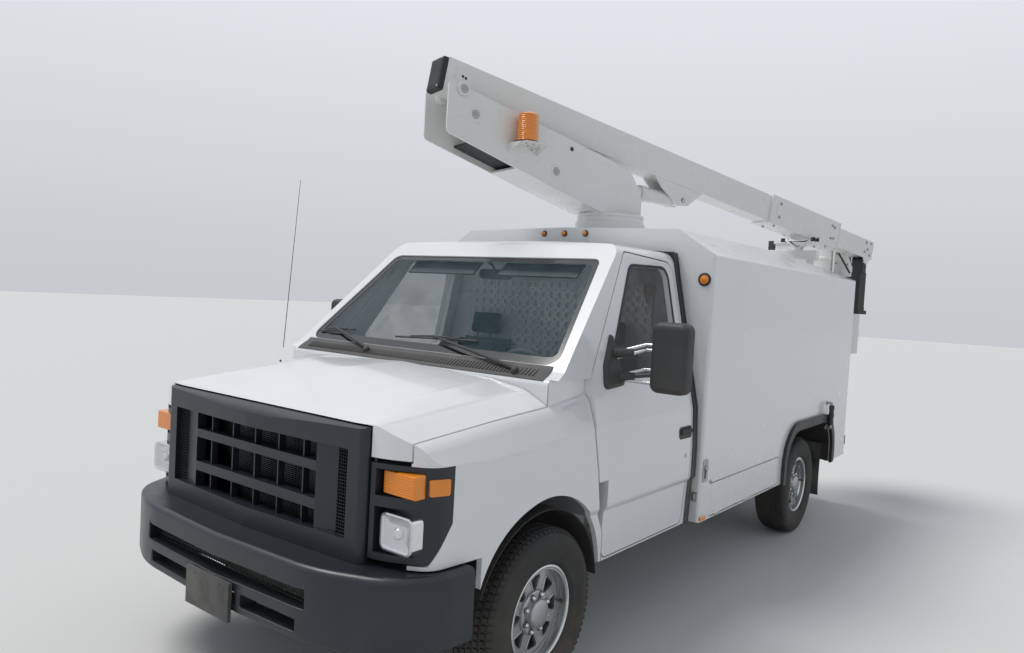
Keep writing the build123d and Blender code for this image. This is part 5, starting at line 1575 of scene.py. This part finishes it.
# Boom
# Two welded box tubes, one inside the other, in cream white enamel. The outer one ends in a collar
# with slide pads held by adjusting screws, and its open front end wears a black plastic cover.
boom_slope = 0.1645
boom_dip = math.atan(boom_slope)
boom_front = -1366
boom_top = 3151
collar_front = 1590
tip_back = 3035
collar_lugs = (110, 800)


def along_boom(r):
    """The place on top of the boom at r: X across, Y along the boom, Z up from its top face."""
    top = boom_top - boom_slope * (r - boom_front)
    return boom_frame @ Matrix.Translation((0, r, top)) @ Matrix.Rotation(-boom_dip, 4, "X")


front_frame, collar_frame, tip_frame = (along_boom(r) for r in (boom_front, collar_front, tip_back))
panel("main_boom", "outer_boom", 0.004, boom_paint)
panel("boom_extension", "inner_boom", 0.004, boom_paint)
cover = bmesh.new()
add_shell(cover, rectangle(-82, -208, 82, -5, 14),
          ((-6, 8), (-6, -1), (1, -1.5), (0, -26), (-4, -34), (-12, -38), (-40, -40)), "y", 4)
finish(cover, "boom_end_cover", "boom", black_rubber_and_painted_shade, place=front_frame, angle=40)

side_bolts = []
side_holes = bmesh.new()
for way in (1, -1):
    for along, down in ((66, -52), (66, -98)):
        side_bolts.append(((way * 80, along, down), (way, 0, 0)))
    for along, down in ((112, -84), (134, -88)):
        add_lathe(side_holes, (way * 79.5, along, down), (way, 0, 0), [(0, 9), (1, 9), (1, 0)], 20)
repeated("boom_front_bolts", bolt_part(9, 7), side_bolts, "boom", boom_paint, place=front_frame)
cover_spots = [((x, -37, z), (0, -1, 0)) for x in (-66, 66) for z in (-18, -190)]
repeated("end_cover_screws", bolt_part(6, 5), cover_spots, "boom", zinc, place=front_frame)
finish(side_holes, "boom_front_holes", "boom", black_rubber_and_painted_shade, place=front_frame)
slit = bmesh.new()
for way in (1, -1):
    add_prism(slit, ((-640, 2818), (-190, 2709), (-190, 2722), (-640, 2836)), way * 79.5, way * 83, "x")
finish(slit, "boom_slot_edge", "boom", black_rubber_and_painted_shade, place=boom_frame)

collar_screws = ((110, -40), (110, -150), (800, -40), (800, -150), (835, -48), (835, -142))
pad_bolts = []
for way in (1, -1):
    for along, down in collar_screws:
        pad_bolts.append(((way * 94, along, down), (way, 0, 0)))
for along in collar_lugs:
    for across in (-55, 55):
        pad_bolts.append(((across, along, 11), (0, 0, 1)))
        pad_bolts.append(((across, along, -217), (0, 0, -1)))
repeated("pad_screws", bolt_part(8, 12), pad_bolts, "boom", zinc, place=collar_frame, spin=6.0)
pads = bmesh.new()
for way in (1, -1):
    add_prism(pads, ((70, -55), (150, -55), (150, -135), (70, -135)), way * 93.8, way * 97, "x")
    add_prism(pads, ((896, -30), (914, -30), (914, -178), (896, -178)), way * 66, way * 79.6, "x")
add_box(pads, (-60, 896, -20.5), (60, 914, -0.5))
add_box(pads, (-60, 896, -205), (60, 914, -186))
finish(pads, "slide_pads", "boom", boom_paint, place=collar_frame, edge=1.0)
brace = bmesh.new()
for along in (6, 902):
    for low in (-219, 7):
        add_box(brace, (-96, along - 2, low), (96, along + 4, low + 6))
    for way in (-1, 1):
        add_box(brace, (way * 92, along - 2, -219), (way * 98, along + 4, 13))
finish(brace, "collar_edges", "boom", boom_paint, place=collar_frame, edge=1.5)

tip_screws = []
for way in (1, -1):
    for along, down in ((-110, -48), (-42, -42), (-80, -104), (-118, -134), (-42, -150)):
        tip_screws.append(((way * 65, along, down), (way, 0, 0)))
repeated("tip_screws", bolt_part(9, 9), tip_screws, "boom_extension", zinc, place=tip_frame, spin=6.0)
tip = bmesh.new()
eye = []
for step in range(13):
    angle = math.pi * step / 12
    eye.append((0, -236 + 20 * math.cos(angle), -21 + 22 * math.sin(angle)))
add_tube(tip, eye, 5, 10)
add_shell(tip, rectangle(-64, -184, 64, -22, 8), ((0, -30), (0, 2), (-4, 6)), "y", 3)
finish(tip, "tip_plate_and_eye", "boom_extension", boom_paint, place=tip_frame, angle=40)

# Lift cylinder
# A painted steel barrel with a gland nut and a hard chromed rod, pinned at both ends.
rod_chrome = coated("rod_chrome", (0.7, 0.71, 0.72, 1), (0.66, 0.67, 0.68, 1), 0.12,
                    (300.0, 0.03, 0.0003), (0.5, 0.0, dust_colour), metallic=1.0)
# The pins at both ends are (along the boom frame, height)
foot_pin = (-600, 2560)
head_pin = (620, 2520)
cylinder_tilt = math.atan2(head_pin[1] - foot_pin[1], head_pin[0] - foot_pin[0])
cylinder_place = boom_frame @ Matrix.Translation((0, *foot_pin)) @ Matrix.Rotation(cylinder_tilt, 4, "X")
panel("ram_barrel", "lift_cylinder", 0.003, boom_paint, 2)
panel("ram_rod", "lift_rod", 0.002, rod_chrome, 2)
gland = bmesh.new()
gland_rows = [(0, 53), (0, 58), (6, 60), (50, 60), (56, 56), (56, 53)]
add_lathe(gland, (0, 838, 0), (0, 1, 0), gland_rows, 40, hollow=True)
for along in (110, 800):
    add_lathe(gland, (0, along, 50), (0, 0, 1), [(0, 16), (14, 15), (16, 11), (24, 11), (24, 0)], 6)
add_tube(gland, [(0, 110, 76), (0, 150, 84), (0, 760, 84), (0, 800, 76)], 8, 10)
finish(gland, "ram_fittings", "cylinder", boom_paint, place=cylinder_place, edge=1.0)

# Boom rest
# A square tube across the roof with a V of flat bars, whose webbing strap carries the stowed boom.
rest_frame = boom_frame @ Matrix.Translation((0, 2072, 0))
panel("rest_beam", "boom_rest", 0.004, boom_paint)
strap = bmesh.new()
strap_points = ((-152, 2362), (-120, 2347), (-60, 2338), (0, 2336), (60, 2338), (120, 2347), (152, 2362))
upper = [(u, v + 1.8) for u, v in strap_points]
lower = [(u, v - 1.8) for u, v in reversed(strap_points)]
add_prism(strap, upper + lower, -24, 24, "y")
for way in (-1, 1):
    add_lathe(strap, (way * 150, -34, 2351), (0, 1, 0), [(0, 9), (0, 13), (68, 13), (68, 9)], 16)
    add_box(strap, (way * 150 - 20, -28, 2335), (way * 150 + 20, -25.5, 2368))
    add_box(strap, (way * 150 - 20, 25.5, 2335), (way * 150 + 20, 28, 2368))
finish(strap, "rest_strap", "chassis", black_rubber_and_painted_shade, place=rest_frame, angle=40)
rest_screws = [((way * 148, side * 28, 2351), (0, side, 0)) for way in (-1, 1) for side in (-1, 1)]
rest_screws += [((way * 14, side * 25, 2300), (0, side, 0)) for way in (-1, 1) for side in (-1, 1)]
repeated("rest_screws", bolt_part(6, 6), rest_screws, "chassis", zinc, place=rest_frame)

# Bucket and its post
# A moulded fibreglass tub with a rolled rim and pressed ribs. It hangs from a black square post
# that is pinned to the boom's tip, with diagonal struts, a side plate and a tool tray.
bucket_n0, bucket_n1 = -870, -200
bucket_r0, bucket_r1 = 2768, 3378
post_r = 2932.98
level_pin_z = 2238.1
gelcoat = coated("gelcoat", (0.80, 0.80, 0.785, 1), (0.765, 0.765, 0.745, 1), 0.25,
                 (30.0, 0.1, 0.002), (0.5, 0.0, dust_colour), coat=0.4)
panel("work_bucket", "bucket", 0.006, gelcoat)
panel("tip_post", "bucket_bracket", 0.004, frame_black)
bucket_outline = rectangle(bucket_n0, bucket_r0, bucket_n1, bucket_r1, 110)
ribs = bmesh.new()
for z in (1560, 1800, 2040, 2250):
    band = []
    for grow, rise in ((-2, -20), (5, -12), (5, 12), (-2, 20)):
        band.append([ribs.verts.new((u, v, z + rise)) for u, v in rounded(bucket_outline, grow, 6)])
    add_walls(ribs, band + [band[0]])
finish(ribs, "bucket_ribs", "bucket", gelcoat, place=boom_frame, angle=50)
step_well = bmesh.new()
add_shell(step_well, rectangle(-640, 1500, -430, 1590, 22),
          ((0, -2), (0, 5), (-6, 5), (-10, -30)), "y", 4, bucket_r1)
finish(step_well, "bucket_step", "bucket", black_rubber_and_painted_shade, place=boom_frame, angle=40)

side_plate = bmesh.new()
add_box(side_plate, (-199.4, post_r - 113, 1736), (-180.5, post_r + 113, 2351))
finish(side_plate, "bucket_side_plate", "bucket", boom_paint, place=boom_frame, edge=2)
fittings = bmesh.new()
add_tube(fittings, [(-160, post_r + 70, 2300), (-60, post_r + 46, 2115)], 9, 10)
add_tube(fittings, [(-176, post_r - 70, 2310), (-60, post_r - 46, 2120)], 9, 10)
for x in (-56, 51):
    add_lathe(fittings, (x, post_r, level_pin_z), (1, 0, 0), [(0, 34), (5, 34), (5, 0)], 24)
add_box(fittings, (-62, post_r - 62, 1752), (62, post_r + 62, 1786))
finish(fittings, "bucket_bracket_parts", "bucket", frame_black, place=boom_frame, edge=2)
bracket_bolts = []
for r in (-85, 85):
    for z in (1790, 1930, 2070, 2210, 2300):
        bracket_bolts.append(((-180.5, post_r + r, z), (1, 0, 0)))
repeated("bracket_bolts", bolt_part(9, 10), bracket_bolts, "bucket", zinc, place=boom_frame, spin=6.0)
tray = bmesh.new()
tray_rows = rectangle(bucket_n0 - 112, 2860, bucket_n0 - 20, 3140, 16)
add_shell(tray, tray_rows,
          ((-3, 2318), (0, 2322), (0, 2432), (3, 2436), (0, 2438), (-5, 2436), (-5, 2328), (-30, 2326)),
          steps=3)
for r in (2905, 2955, 3045, 3095):
    add_box(tray, (bucket_n0 - 110, r - 2, 2327), (bucket_n0 - 24, r + 2, 2420))
for r in (2890, 3110):
    add_box(tray, (bucket_n0 - 22, r - 14, 2350), (bucket_n0 - 6, r + 14, 2444))
    add_box(tray, (bucket_n0 - 22, r - 14, 2438), (bucket_n0 + 22, r + 14, 2446))
finish(tray, "tool_tray", "bucket", cowl_plastic, place=boom_frame, edge=1.5, angle=50)
